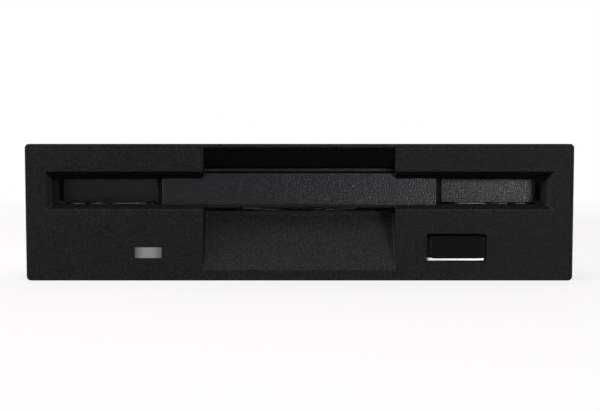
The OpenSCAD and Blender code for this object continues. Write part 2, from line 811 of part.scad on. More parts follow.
rod_screw_r = 0.7;
rod_screw_y = [for (i = [0, 1]) rod_boss_y[i] + rod_boss_l[i] / 2];
module chassis() placed() color("#a7a9ab") difference() {
    union() {
        chassis_floors();
        both_sides() {
            side_wall();
            for (y = [base_hole_y, base_hole_y + base_hole_pitch]) base_column(y);
        }
    }
    both_sides() for (y = [side_hole_y, side_hole_y + side_hole_pitch])
        bar_x(y, side_hole_z, mount_r, side_boss_in - cut, chassis_out + cut);
    for (y = rod_screw_y) bar_z(rod_screw_x, y, rod_screw_r, rear_floor_top + 1.5, drive_h);
    // Opening below the lower head
    block([-head_gap_half, step_y - cut, 0], [head_gap_half, step_y + head_gap_l, rear_floor_top + cut]);
}
module chassis_floors() {
    difference() {
        union() {
            across_z(floor_low, floor_top) difference() {
                translate([-chassis_in - eps, bezel_d + 1]) square([2 * chassis_in + 2 * eps, step_y - bezel_d - 1 + floor_t]);
                floor_cuts();
            }
            // Step down to the rear floor
            difference() {
                block([-chassis_in - eps, step_y, rear_floor_low], [chassis_in + eps, step_y + floor_t, floor_top]);
                block([-head_slot_half, step_y - cut, rear_floor_top], [screw_x + 4, step_y + 3, floor_top + cut]);
            }
            difference() {
                block([-chassis_in - eps, step_y, rear_floor_low], [chassis_in + eps, rear_floor_end, rear_floor_top]);
                block([screw_x - stepper_room, stepper_y - 0.4, 0], [screw_x + stepper_room, drive_l, rear_floor_top + cut]);
                both_sides() across_z(0, floor_top)
                    long_hole([rear_slot_x, main_boss_y[0] - 2], [rear_slot_x, main_boss_y[0] + 8], 5);
            }
            // Ribs under the floor
            both_sides() {
                block([rib_x - rib_t / 2, 21, rib_low], [rib_x + rib_t / 2, step_y + eps, floor_low + eps]);
                for (y = [48, 66]) block([rib_x, y, rib_low], [chassis_in + eps, y + rib_t, floor_low + eps]);
            }
            for (x = [-guide_x, guide_x], y = guide_y) bar_z(x, y, guide_r, floor_top - eps, slide_z + slide_t + 0.3);
            // Posts of the eject springs
            for (x = [-spring_x, spring_x])
                block([x - 1, spring_post_y, floor_low], [x + 1, spring_post_y + spring_post_l, slide_z + slide_t]);
            for (x = [-board_boss.x, board_boss.x], y = [board_boss.y, board_boss.z])
                bar_z(x, y, boss_r, board_top, floor_low + eps);
            for (x = [-main_boss_x, main_boss_x], y = main_boss_y)
                bar_z(x, y, boss_r, main_top, rear_floor_low + eps);
            for (i = [0, 1]) rod_boss(rod_boss_y[i], rod_boss_y[i] + rod_boss_l[i]);
        }
        bar_y(rod_x, rod_z, rod_r, rod_front - 0.2, step_y + 3);
        block([rod_x - rod_r, rod_front - 0.2, rod_z], [rod_x + rod_r, step_y + 3, rod_z + 4]);
        for (x = [-board_boss.x, board_boss.x], y = [board_boss.y, board_boss.z])
            bar_z(x, y, board_screw_r, board_top - cut, floor_top - 0.4);
        for (x = [-main_boss_x, main_boss_x], y = main_boss_y)
            bar_z(x, y, board_screw_r, main_top - cut, rear_floor_top - 0.4);
    }
}

// Top cover: a pressed lid with side flanges, two long beads and hold-down tongues
bead_x = 30;
bead_r = 3;
bead_depth = 0.3;
bead_y = [[20, 84], [104, drive_l - 18]];
tongue_slot_x = 38.5;
tongue_slot_y = 50;
tongue_slot_l = 22;
module cover_beads(r) {
    both_sides() for (y = bead_y) long_hole([bead_x, y[0]], [bead_x, y[1]], r);
}
module top_cover() placed() color("#b4b6b8") {
    rear = drive_l - 4;
    difference() {
        union() {
            across_z(cover_low, cover_top) round_rect([-chassis_out, bezel_d], [chassis_out, rear], 0.8);
            both_sides() block([flange_in, bezel_d + 1, shoulder_z + 0.1], [chassis_out, rear - 1, cover_low + eps]);
            across_z(cover_low - bead_depth, cover_low + eps) cover_beads(bead_r + 0.5);
            block([4 - chassis_in, rear - cover_t, shoulder_z - 1], [chassis_in - 4, rear, cover_low + eps]);
        }
        across_z(cover_top - bead_depth, cover_top + cut) cover_beads(bead_r);
        // Tongues that hold the cradle down, the spindle's hole and the window over the heads
        across_z(cover_low - cut, cover_top + cut) {
            both_sides() difference() {
                translate([tongue_slot_x - 3, tongue_slot_y]) square([6, tongue_slot_l]);
                translate([tongue_slot_x - 2, tongue_slot_y - cut]) square([4, tongue_slot_l]);
            }
            translate([0, spindle_y]) circle(7);
            round_rect([-9, head_y + 3], [9, head_y + 21], 2);
        }
        both_sides() {
            for (y = cover_screw_y) bar_x(y, cover_screw_z, cover_screw_r, flange_in - cut, chassis_out + cut);
            block([flange_in - cut, wall_window_y[0], shoulder_z - cut],
                [chassis_out + cut, wall_window_y[1] + 1, cover_low - 1.4]);
        }
    }
}
cover_head_r = 1.9;
cover_head_t = 0.25;
module cover_screws() placed() color("#8b8e92") both_sides() for (y = cover_screw_y) {
    face = chassis_out + cover_head_t;
    bar_x(y, cover_screw_z, cover_screw_r, chassis_in + 0.8, chassis_out);
    difference() {
        bar_x(y, cover_screw_z, cover_head_r, chassis_out, face);
        block([face - 0.15, y - cross_half, cover_screw_z - cross_t], [face + cut, y + cross_half, cover_screw_z + cross_t]);
        block([face - 0.15, y - cross_t, cover_screw_z - cross_half], [face + cut, y + cross_t, cover_screw_z + cross_half]);
    }
}

// Motor board, with its stator, and the parts that turn
board_ear_l = 10;
board_mid_half = 32;
board_rim = 4;
board_l = board_boss.z + board_rim - board_front;
module motor_board() placed() color("#2f6b46") {
    across_z(board_low, board_top) difference() {
        union() {
            translate([-board_half, board_front]) square([2 * board_half, board_ear_l]);
            translate([-board_mid_half, board_front]) square([2 * board_mid_half, board_l]);
        }
        translate([0, spindle_y]) circle(bearing_r + fit);
        translate([button_x - notch_half, 0]) square([2 * notch_half, notch_y]);
        for (x = [-board_boss.x, board_boss.x], y = [board_boss.y, board_boss.z])
            translate([x, y]) circle(board_screw_r + 0.3);
    }
}
module spindle_bearing() placed() color("#b08d4a") difference() {
    union() {
        bar_z(0, spindle_y, bearing_r, bearing_low, floor_top);
        bar_z(0, spindle_y, bearing_r + 1.5, stator_z + stator_t, board_low);
        bar_z(0, spindle_y, bearing_r + 3, board_top, floor_low);
    }
    bar_z(0, spindle_y, shaft_r + fit, bearing_low - cut, floor_top + cut);
}
tooth_half = 1.1;
tooth_head = 1.6;
tooth_gap = 1.8;
coil_t = 0.9;
tooth_step = 360 / stator_teeth;
module stator_shape() {
    core = bearing_r + 3.5;
    difference() {
        union() {
            circle(core);
            for (i = [0:stator_teeth - 1]) rotate(i * tooth_step)
                translate([core - 1, -tooth_half]) square([stator_r - core, 2 * tooth_half]);
            difference() {
                circle(stator_r);
                circle(stator_r - tooth_head);
                for (i = [0:stator_teeth - 1]) rotate((i + 0.5) * tooth_step)
                    translate([stator_r - 2 * tooth_head, -tooth_gap / 2]) square([3 * tooth_head, tooth_gap]);
            }
        }
        circle(bearing_r);
    }
}
module stator_core() placed() color("#7d8084") translate([0, spindle_y, 0])
    across_z(stator_z, stator_z + stator_t) stator_shape();
module stator_coils() placed() color("#b5662f") translate([0, spindle_y, 0])
    for (i = [0:stator_teeth - 1]) rotate(i * tooth_step) difference() {
        block([bearing_r + 4.2, -tooth_half - coil_t, stator_z - 0.6],
            [stator_r - tooth_head - 0.6, tooth_half + coil_t, stator_z + stator_t + 0.6]);
        block([bearing_r, -tooth_half, stator_z], [stator_r, tooth_half, stator_z + stator_t]);
    }
module rotor() placed() color("#9da0a3") translate([0, spindle_y, 0]) difference() {
    rotate_extrude($fn = 96) polygon([
        [shaft_r, rotor_low], [magnet_r, rotor_low], [rotor_r, rotor_low + rotor_t], [rotor_r, rotor_low + rotor_h],
        [magnet_r, rotor_low + rotor_h], [magnet_r, rotor_low + rotor_t], [shaft_r, rotor_low + rotor_t]
    ]);
    for (i = [0:5]) rotate(60 * i) translate([14, 0, rotor_low - cut]) cylinder(h = rotor_t + 2 * cut, r = 2.6);
}
module rotor_magnet() placed() color("#3a3a3c") translate([0, spindle_y, 0])
    rotate_extrude($fn = 96) translate([magnet_r - magnet_t, rotor_low + rotor_t])
        square([magnet_t, rotor_h - rotor_t - 0.3]);
module spindle_shaft() placed() color("silver") {
    nose = hub_z + hub_t + 1.6;
    bar_z(0, spindle_y, shaft_r, rotor_low, nose);
    translate([0, spindle_y, nose]) cylinder(h = 0.6, r1 = shaft_r, r2 = shaft_r - 0.6);
}
drive_pin_x = 9.6;
drive_pin_r = 1;
module hub_plate() placed() color("#c8cacc") translate([0, spindle_y, 0]) difference() {
    union() {
        translate([0, 0, hub_z]) cylinder(h = hub_t, r = hub_r);
        translate([0, 0, hub_z]) cylinder(h = hub_t + 0.5, r = 4.5);
        translate([0, 0, floor_top + run_gap]) cylinder(h = hub_z - floor_top, r = 3.4);
    }
    bar_z(0, 0, shaft_r, floor_top, hub_z + hub_t + cut);
    bar_z(drive_pin_x, 0, drive_pin_r + fit, hub_z - cut, hub_z + hub_t + cut);
}
module drive_pin() placed() color("#8f9296") {
    bar_z(drive_pin_x, spindle_y, drive_pin_r, hub_z, hub_z + hub_t + 0.6);
}

// Main board under the rear floor, with chips below and the two connectors behind
module main_board() placed() color("#2f6b46") {
    across_z(main_z, main_top) difference() {
        translate([-main_half, main_front]) square([2 * main_half, drive_l - main_front]);
        for (x = [-main_boss_x, main_boss_x], y = main_boss_y) translate([x, y]) circle(board_screw_r + 0.3);
        translate([-main_notch, main_front - cut]) square([2 * main_notch, 5]);
    }
}
leg_pitch = 1.27;
leg_half = 0.2;
leg_reach = 0.6;
module chip(x, y, w, l, legs) {
    block([x - w / 2, y - l / 2, main_z - 1.2], [x + w / 2, y + l / 2, main_z - 0.2]);
    for (k = [0:legs - 1], s = [-1, 1]) {
        leg_x = x + s * (w / 2 + leg_reach);
        leg_y = y + (k - (legs - 1) / 2) * leg_pitch;
        block([leg_x - leg_reach, leg_y - leg_half, main_z - 0.7], [leg_x + leg_reach, leg_y + leg_half, main_z]);
    }
}
// Each chip: its place from the middle and from the board's front, its width and length, and its legs a side
chips = [[-16, 21.8, 12, 16, 11], [16, 15.8, 8, 12, 8], [-32, 27.8, 6, 9, 6]];
module board_chips() placed() color("#262628") for (c = chips) chip(c[0], main_front + c[1], c[2], c[3], c[4]);
module board_screw(x, y, z, shank) {
    low = z - 0.7;
    bar_z(x, y, board_screw_r, z, z + shank);
    difference() {
        bar_z(x, y, 2 * board_screw_r, low, z);
        block([x - cross_half, y - cross_t, low - cut], [x + cross_half, y + cross_t, low + 0.3]);
        block([x - cross_t, y - cross_half, low - cut], [x + cross_t, y + cross_half, low + 0.3]);
    }
}
module board_screws() placed() color("#8b8e92") {
    for (x = [-board_boss.x, board_boss.x], y = [board_boss.y, board_boss.z])
        board_screw(x, y, board_low, floor_low - board_low + 0.6);
    for (x = [-main_boss_x, main_boss_x], y = main_boss_y)
        board_screw(x, y, main_z, rear_floor_low - main_z + 0.6);
}

// Signal header: an open shroud with a keyed wall round two rows of pins
module signal_header() placed() color("#2a2a2c") {
    x0 = header_x - header_w / 2;
    x1 = header_x + header_w / 2;
    z1 = main_top + header_h;
    difference() {
        block([x0, header_y, main_top], [x1, drive_l, z1]);
        block([x0 + header_wall, header_y + header_back, main_top + header_wall],
            [x1 - header_wall, drive_l + cut, z1 - header_wall]);
        block([header_x - key_half, header_y + header_back, z1 - 2], [header_x + key_half, drive_l + cut, z1 + cut]);
    }
}
module signal_pins() placed() color("#d8b45a") {
    mid_z = main_top + header_h / 2;
    h = pin_side / 2;
    for (i = [0:pin_columns - 1], s = [-1, 1]) {
        x = header_x + (i - (pin_columns - 1) / 2) * pin_pitch;
        z = mid_z + s * pin_pitch / 2;
        back = header_y - 0.3 - pin_side - (s + 1) * 0.55;
        block([x - h, header_y + header_back, z - h], [x + h, drive_l - 1, z + h]);
        block([x - h, back, z - h], [x + h, header_y, z + h]);
        block([x - h, back, main_top], [x + h, back + pin_side, z]);
    }
}
module power_header() placed() color("#e9e7df") {
    x0 = power_x - power_w / 2;
    x1 = power_x + power_w / 2;
    z1 = main_top + power_h;
    difference() {
        block([x0, power_y, main_top], [x1, drive_l, z1]);
        block([x0 + 1, power_y + 2, main_top + 1], [x1 - 1, drive_l + cut, z1 - 1.4]);
        for (x = [power_x - key_x, power_x + key_x])
            block([x - 0.8, power_y + 2, z1 - 2], [x + 0.8, drive_l + cut, z1 + cut]);
    }
}
module power_pins() placed() color("silver") for (i = [0:3]) {
    x = power_x + (i - 1.5) * power_pitch;
    z = main_top + 2.6;
    h = pin_side / 2;
    foot = power_y - 1.6;
    block([x - h, power_y + 2, z - h], [x + h, drive_l - 1.4, z + h]);
    block([x - h, foot, z - h], [x + h, power_y, z + h]);
    block([x - h, foot, main_top], [x + h, foot + pin_side, z]);
}

// Head drive: rod, clamps, carriage, screw and stepping motor
module guide_rod() placed() color("#dfe1e3") {
    bar_y(rod_x, rod_z, rod_r, rod_front, rod_rear);
}
module rod_clamps() placed() color("#c4c7ca") for (y = rod_screw_y)
    across_z(rod_z + rod_r, clamp_top) difference() {
        round_rect([rod_x - rod_boss_half, y - 1.7], [rod_x + 1.6, y + 1.7], 0.4);
        translate([rod_screw_x, y]) circle(rod_screw_r);
    }
module rod_screws() placed() color("#8b8e92") for (y = rod_screw_y) {
    bar_z(rod_screw_x, y, rod_screw_r, rear_floor_top + 1.5, clamp_top);
    bar_z(rod_screw_x, y, rod_screw_r + 0.4, clamp_top, clamp_top + 0.6);
}

arm_low = arm_hinge_z + 0.45;
arm_t = 1.4;
cheek_in = arm_half + 0.7;
cheek_out = cheek_in + 1.2;
carriage_low = rear_floor_top + 0.6;
carriage_top = clamp_top;
nose_low = floor_top - 0.4;
cheek_r = 2.5;
hinge_pin_r = 0.8;
head_half = 1.7;
head_plate_r = 4;
head_plate_t = 0.3;
rib_half = 0.6;
flag_x = 2;
follower_r = 0.5;
follower_x = 7;
follower_y = sleeve_y + sleeve_l / 2;
module head_carriage() placed() color("#c9c6bc") {
    sleeve_end = sleeve_y + sleeve_l;
    difference() {
        union() {
            bar_y(rod_x, rod_z, sleeve_r, sleeve_y, sleeve_end);
            block([rod_x, sleeve_y, carriage_low], [screw_x - screw_r - 2, sleeve_end, carriage_top]);
            block([-arm_half, head_y - head_plate_r, nose_low], [arm_half, sleeve_y + eps, carriage_top]);
            both_sides() {
                block([3.4 - rib_half, head_y + 3, carriage_low + 2.2], [3.4 + rib_half, sleeve_y + eps, nose_low + eps]);
                across_x(cheek_in, cheek_out) {
                    translate([arm_hinge_y - cheek_r, carriage_low]) square([2 * cheek_r, arm_hinge_z - carriage_low]);
                    translate([arm_hinge_y, arm_hinge_z]) circle(cheek_r);
                }
            }
            // The flag that the track-zero sensor sees
            block([flag_x, sleeve_end - eps, rod_z - 0.8], [flag_x + 0.6, sleeve_end + 4.4, rod_z + 1.4]);
        }
        bar_y(rod_x, rod_z, rod_r + fit, sleeve_y - cut, sleeve_end + cut);
        bar_x(arm_hinge_y, arm_hinge_z, hinge_pin_r + fit, -cheek_out - cut, cheek_out + cut);
        bar_z(0, head_y, 2.4, nose_low - cut, nose_low + 0.6);
        for (x = [-4.4, 0.6])
            block([x, sleeve_y + 2, carriage_low - cut], [x + 4, sleeve_end - 2, carriage_top - 1.2]);
        bar_x(follower_y, screw_z, follower_r, follower_x, screw_x);
        across_z(nose_low - cut, carriage_top + cut) long_hole([0, head_y + 6.5], [0, sleeve_y - 3], 1.8);
    }
}
module lower_head() placed() color("#8a8074") {
    top = carriage_top + head_plate_t;
    bar_z(0, head_y, head_plate_r, carriage_top, top);
    block([-head_half, head_y - head_half, top], [head_half, head_y + head_half, media_z - 0.15]);
}
module follower() placed() color("#d9dbdd") {
    bar_x(follower_y, screw_z, follower_r, follower_x, screw_x - screw_r - 0.1);
}
module raised() {
    translate([0, arm_hinge_y, arm_hinge_z]) rotate([-arm_angle, 0, 0])
        translate([0, -arm_hinge_y, -arm_hinge_z]) children();
}
module head_arm() placed() color("#b9bbb9") raised() {
    difference() {
        union() {
            across_z(arm_low, arm_low + arm_t) difference() {
                round_rect([-arm_half, head_y - head_plate_r], [arm_half, arm_hinge_y + 1.5], 1);
                long_hole([0, head_y + 7], [0, arm_hinge_y - 6], 2.6);
            }
            both_sides() block([arm_half - 1, head_y + 2, arm_low + arm_t - eps], [arm_half, arm_hinge_y - 2, arm_low + arm_t + 1]);
            bar_x(arm_hinge_y, arm_hinge_z, 1.9, -arm_half, arm_half);
        }
        bar_z(0, head_y, 2.4, arm_low + 0.7, arm_low + 4);
    }
    bar_x(arm_hinge_y, arm_hinge_z, hinge_pin_r, -cheek_out - 2.4, cheek_out + 0.4);
}
module upper_head() placed() color("#8a8074") raised() {
    low = arm_low - head_plate_t;
    bar_z(0, head_y, head_plate_r, low, arm_low);
    block([-head_half, head_y - head_half, media_z + 0.15], [head_half, head_y + head_half, low]);
}
arm_coil = coil_x([-cheek_out - 2, arm_hinge_y, arm_hinge_z], 1.3, coil_pitch, 2, 0);
module arm_spring() placed() color("#b9bcc0") {
    wire(arm_coil, [1, 0, 0], spring_wire);
}
screw_pivot_r = screw_r - 0.5;
screw_shoulder = screw_front + 1;
screw_end = stepper_y + 3;
module lead_screw() placed() color("#d5d7d9") {
    bar_y(screw_x, screw_z, screw_r, screw_shoulder, screw_end);
    bar_y(screw_x, screw_z, screw_pivot_r, screw_front + 0.2, screw_shoulder + eps);
}
module screw_bearing() placed() color("#caa65a") difference() {
    rear = screw_shoulder + 1;
    union() {
        block([screw_x - 2.6, bearing_front, rear_floor_top], [screw_x + 2.6, rear, screw_z]);
        bar_y(screw_x, screw_z, 2.3, bearing_front, rear);
    }
    bar_y(screw_x, screw_z, screw_r + fit, screw_shoulder - fit, rear + cut);
    bar_y(screw_x, screw_z, screw_pivot_r + fit, screw_front + 0.2 - fit, rear);
}
module stepper_case() placed() color("#bfc1c3") difference() {
    union() {
        bar_y(screw_x, screw_z, stepper_r, stepper_y, stepper_y + stepper_l);
        bar_y(screw_x, screw_z, stepper_r - 2, stepper_y + stepper_l - eps, stepper_y + stepper_l + 0.6);
        // The saddle where its wires come out
        block([screw_x - 2, stepper_y + 3, screw_z + stepper_r - 1], [screw_x + 2, stepper_y + 9, screw_z + stepper_r + 1.2]);
    }
    bar_y(screw_x, screw_z, screw_r + fit, stepper_y - cut, screw_end + pin_gap);
}
module stepper_bracket() placed() color("#c4c7ca") {
    right = screw_x + stepper_r;
    foot_top = rear_floor_top + 1;
    difference() {
        union() {
            across_y(stepper_y - 1, stepper_y)
                round_rect([screw_x - stepper_r - 2.6, rear_floor_top], [right + 1.4, screw_z + stepper_r], 1);
            block([right + 1.2, stepper_y - 6, rear_floor_top], [right + 5, stepper_y, foot_top]);
            block([right - 4, stepper_y - 6, rear_floor_top], [right + 5, stepper_y - 1 + eps, foot_top]);
        }
        bar_y(screw_x, screw_z, screw_r + 0.6, stepper_y - 2, stepper_y + cut);
    }
}

// Flat cable of the heads: a thin hump between the carriage and its socket
cable_t = 0.16;
cable_r = 1.7;
cable_z = rod_z - 1.6;
cable_x = [-6, 0];
cable_tail = 0.9;
socket_y = cable_y + 4 * cable_r + 2 * cable_tail - 0.6;
module quarter(a) {
    rotate(a) intersection() {
        difference() {
            circle(cable_r + cable_t / 2);
            circle(cable_r - cable_t / 2);
        }
        square(2 * cable_r);
    }
}
module cable_half() {
    translate([-2 * cable_r, cable_r]) quarter(-90);
    translate([0, cable_r]) quarter(90);
    translate([-2 * cable_r - cable_tail, -cable_t / 2]) square([cable_tail + eps, cable_t]);
}
module head_cable() placed() color("#b8894e") across_x(cable_x[0], cable_x[1])
    translate([cable_y + cable_tail + 2 * cable_r, cable_z]) {
        cable_half();
        mirror([1, 0]) cable_half();
    }
module cable_socket() placed() color("#e4e2da") difference() {
    block([cable_x[0] - 1.5, socket_y, rear_floor_top], [cable_x[1] + 1.5, socket_y + 3, rod_z - 0.8]);
    block([cable_x[0] - 0.2, socket_y - cut, cable_z - 0.2], [cable_x[1] + 0.2, socket_y + 1.5, cable_z + 0.2]);
}
module track_sensor() placed() color("#2a2a2c") {
    y0 = cable_y + 1.4;
    y1 = y0 + 4.4;
    x0 = flag_x - 1.3;
    block([x0, y0, rear_floor_top], [x0 + 3.2, y1, rear_floor_top + 1.2]);
    for (x = [x0, x0 + 2.3]) block([x, y0, rear_floor_top], [x + 0.9, y1, rod_z + 2]);
}

// Switches: bodies on the motor board, each with a plunger that the disk presses
module switch_bodies() placed() color("#2a2a2c")
    for (x = [disk_switch_x, protect_switch_x, density_switch_x]) difference() {
        block([x - switch_w / 2, switch_y - switch_d / 2, board_top], [x + switch_w / 2, switch_y + switch_d / 2, switch_top]);
        bar_z(x, switch_y, plunger_r + fit, switch_well, switch_top + cut);
    }
module plunger(x) placed() color("#d9d6cc") {
    nose = 0.4;
    bar_z(x, switch_y, plunger_r, switch_well + plunger_travel + pin_gap, plunger_top - nose);
    translate([x, switch_y, plunger_top - nose]) cylinder(h = nose, r1 = plunger_r, r2 = plunger_r - nose);
}
module disk_switch_plunger() plunger(disk_switch_x);
module protect_switch_plunger() plunger(protect_switch_x);
module density_switch_plunger() plunger(density_switch_x);

// Least gap of each spring to itself
echo("flap spring gap", self_gap(flap_coil, spring_wire));
echo("eject spring gap", self_gap(eject_coils[0], spring_wire));
echo("arm spring gap", self_gap(arm_coil, spring_wire));

front_bezel();
lamp_lens();
lamp();
dust_flap();
flap_spring();
eject_button();
eject_slide();
disk_cradle();
eject_springs();
trigger_lever();
trigger_post();
chassis();
top_cover();
cover_screws();
motor_board();
stator_core();
stator_coils();
spindle_bearing();
spindle_shaft();
hub_plate();
drive_pin();
rotor();
rotor_magnet();
main_board();
board_chips();
board_screws();
signal_header();
signal_pins();
power_header();
power_pins();
guide_rod();
rod_clamps();
rod_screws();
head_carriage();
lower_head();
follower();
head_arm();
upper_head();
arm_spring();
lead_screw();
screw_bearing();
stepper_case();
stepper_bracket();
head_cable();
cable_socket();
track_sensor();
switch_bodies();
disk_switch_plunger();
protect_switch_plunger();
density_switch_plunger();
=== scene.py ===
import json
import math

import bmesh
import bpy
import numpy as np
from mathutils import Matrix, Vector

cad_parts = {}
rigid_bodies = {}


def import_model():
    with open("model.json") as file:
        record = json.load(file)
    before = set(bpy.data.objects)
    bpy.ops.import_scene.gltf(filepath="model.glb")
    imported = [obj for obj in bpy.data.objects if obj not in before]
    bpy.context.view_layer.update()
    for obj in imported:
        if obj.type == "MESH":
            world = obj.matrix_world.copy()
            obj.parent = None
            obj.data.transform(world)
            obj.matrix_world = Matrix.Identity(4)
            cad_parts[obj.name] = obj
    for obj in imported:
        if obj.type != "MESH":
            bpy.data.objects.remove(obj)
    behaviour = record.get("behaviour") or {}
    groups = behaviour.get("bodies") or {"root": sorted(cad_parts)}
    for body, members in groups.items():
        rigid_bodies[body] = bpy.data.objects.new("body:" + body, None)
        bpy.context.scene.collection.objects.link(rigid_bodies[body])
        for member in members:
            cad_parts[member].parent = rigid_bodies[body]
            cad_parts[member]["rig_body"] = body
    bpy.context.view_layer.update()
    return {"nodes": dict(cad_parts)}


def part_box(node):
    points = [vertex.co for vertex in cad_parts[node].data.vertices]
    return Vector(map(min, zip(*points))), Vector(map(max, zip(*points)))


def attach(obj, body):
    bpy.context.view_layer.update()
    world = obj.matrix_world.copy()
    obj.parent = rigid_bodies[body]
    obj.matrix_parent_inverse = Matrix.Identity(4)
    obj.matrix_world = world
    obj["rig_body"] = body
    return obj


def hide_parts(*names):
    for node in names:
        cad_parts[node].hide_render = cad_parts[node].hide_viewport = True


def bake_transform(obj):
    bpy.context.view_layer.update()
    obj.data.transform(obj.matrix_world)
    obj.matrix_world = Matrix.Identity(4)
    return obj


for leftover in list(bpy.data.objects):
    bpy.data.objects.remove(leftover)

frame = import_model()
mm = 0.001
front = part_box("front_bezel")[0].y  # the bezel's face lies in this plane
scene = bpy.context.scene
print("frame loaded:", len(frame["nodes"]), "nodes")

# Camera, as the photograph was taken: close in front, three quarters of the front's height up, and looking a
# little down
photo = {
    "distance": 136 * mm, "height": 20 * mm, "aimX": 0.1 * mm, "aimZ": 14 * mm, "lens": 44.1, "sensor": 36,
    "near": 5 * mm, "far": 20}


def makeCamera(view):
    lens = bpy.data.cameras.new("photoCamera")
    lens.lens = view["lens"]
    lens.sensor_width = view["sensor"]
    lens.clip_start = view["near"]
    lens.clip_end = view["far"]
    holder = bpy.data.objects.new("photoCamera", lens)
    scene.collection.objects.link(holder)
    stand = Vector((view["aimX"], front - view["distance"], view["height"]))
    target = Vector((view["aimX"], front, view["aimZ"]))
    holder.location = stand
    holder.rotation_mode = "QUATERNION"
    holder.rotation_quaternion = (target - stand).to_track_quat("-Z", "Y")
    scene.camera = holder


makeCamera(photo)
print("camera placed")


def linear(hexColour):
    # sRGB hex to linear, with alpha 1
    channels = np.array([int(hexColour[i : i + 2], 16) for i in (1, 3, 5)]) / 255
    low = channels / 12.92
    high = ((channels + 0.055) / 1.055) ** 2.4
    return (*np.where(channels <= 0.04045, low, high).tolist(), 1.0)


def addNode(tree, kind, settings=None, links=None):
    # One node: a setting is a property of the node or the value of an input, a link goes to an input
    node = tree.nodes.new(kind)
    for key, value in (settings or {}).items():
        if isinstance(key, str) and hasattr(node, key):
            setattr(node, key, value)
        else:
            node.inputs[key].default_value = value
    for key, source in (links or {}).items():
        tree.links.new(source, node.inputs[key])
    return node


def newMaterial(name):
    # An empty material with its output and a Principled shader
    material = bpy.data.materials.new(name)
    material.use_nodes = True
    tree = material.node_tree
    tree.nodes.clear()
    output = addNode(tree, "ShaderNodeOutputMaterial")
    shader = addNode(tree, "ShaderNodeBsdfPrincipled")
    tree.links.new(shader.outputs["BSDF"], output.inputs["Surface"])
    coords = addNode(tree, "ShaderNodeTexCoord").outputs["Object"]
    return material, tree, shader, coords


def normalParts(tree):
    # The x, y and z of the surface's normal
    normal = addNode(tree, "ShaderNodeNewGeometry").outputs["Normal"]
    return addNode(tree, "ShaderNodeSeparateXYZ", None, {"Vector": normal}).outputs


# ABS, injection moulded in a tool with a leather grain: flat pebbles with narrow valleys, wider than high,
# that leave a dull black with a fine sparkle
# Its colours and last entries carry painted light and shade: the grain's valleys are painted darker than its
# tops, the faces that look down are painted darker, the scoop is painted lighter and the faces that look
# further up, such as the ledges under the slot, darker
bezelFinish = {
    "valley": "#020202", "top": "#212121", "roughness": 0.5, "specular": 0.055, "grain": 0.28 * mm,
    "stretch": 0.4, "depth": 0.075 * mm, "facing": "Z", "fullShadeAt": -0.4, "noShadeAt": -0.1, "scoop": 1.8,
    "ledgeShade": 0.4}
# The flap comes from another tool, with a finer and shinier grain
# Its colours and last entries carry painted shade: the grain's valleys are painted darker than its tops, and
# the flap's edges and bevels, which don't look straight ahead, are painted darker
flapFinish = {
    "valley": "#040506", "top": "#131418", "roughness": 0.3, "specular": 0.24, "grain": 0.3 * mm,
    "stretch": 0.7, "depth": 0.045 * mm, "facing": "Y", "fullShadeAt": -0.84, "noShadeAt": -0.96, "scoop": 1.0,
    "ledgeShade": 1.0}
# How the pebbles are drawn: swirl, bend, edge and fine are measured against the grain's width. The last entry
# is the share of colour and shine left where the painted shade on faces that turn away is full
pebble = {"swirl": 1.25, "bend": 0.5, "edge": 0.32, "fine": 0.5, "fineShare": 0.5, "fullShadeShare": 0.2}
# The upward part of the normal at which the painted light of the scoop, or the painted shade of the faces
# that look further up, begins, and at which it is full
upwardPart = {"scoop": (0.1, 0.2), "ledgeShade": (0.4, 0.7)}


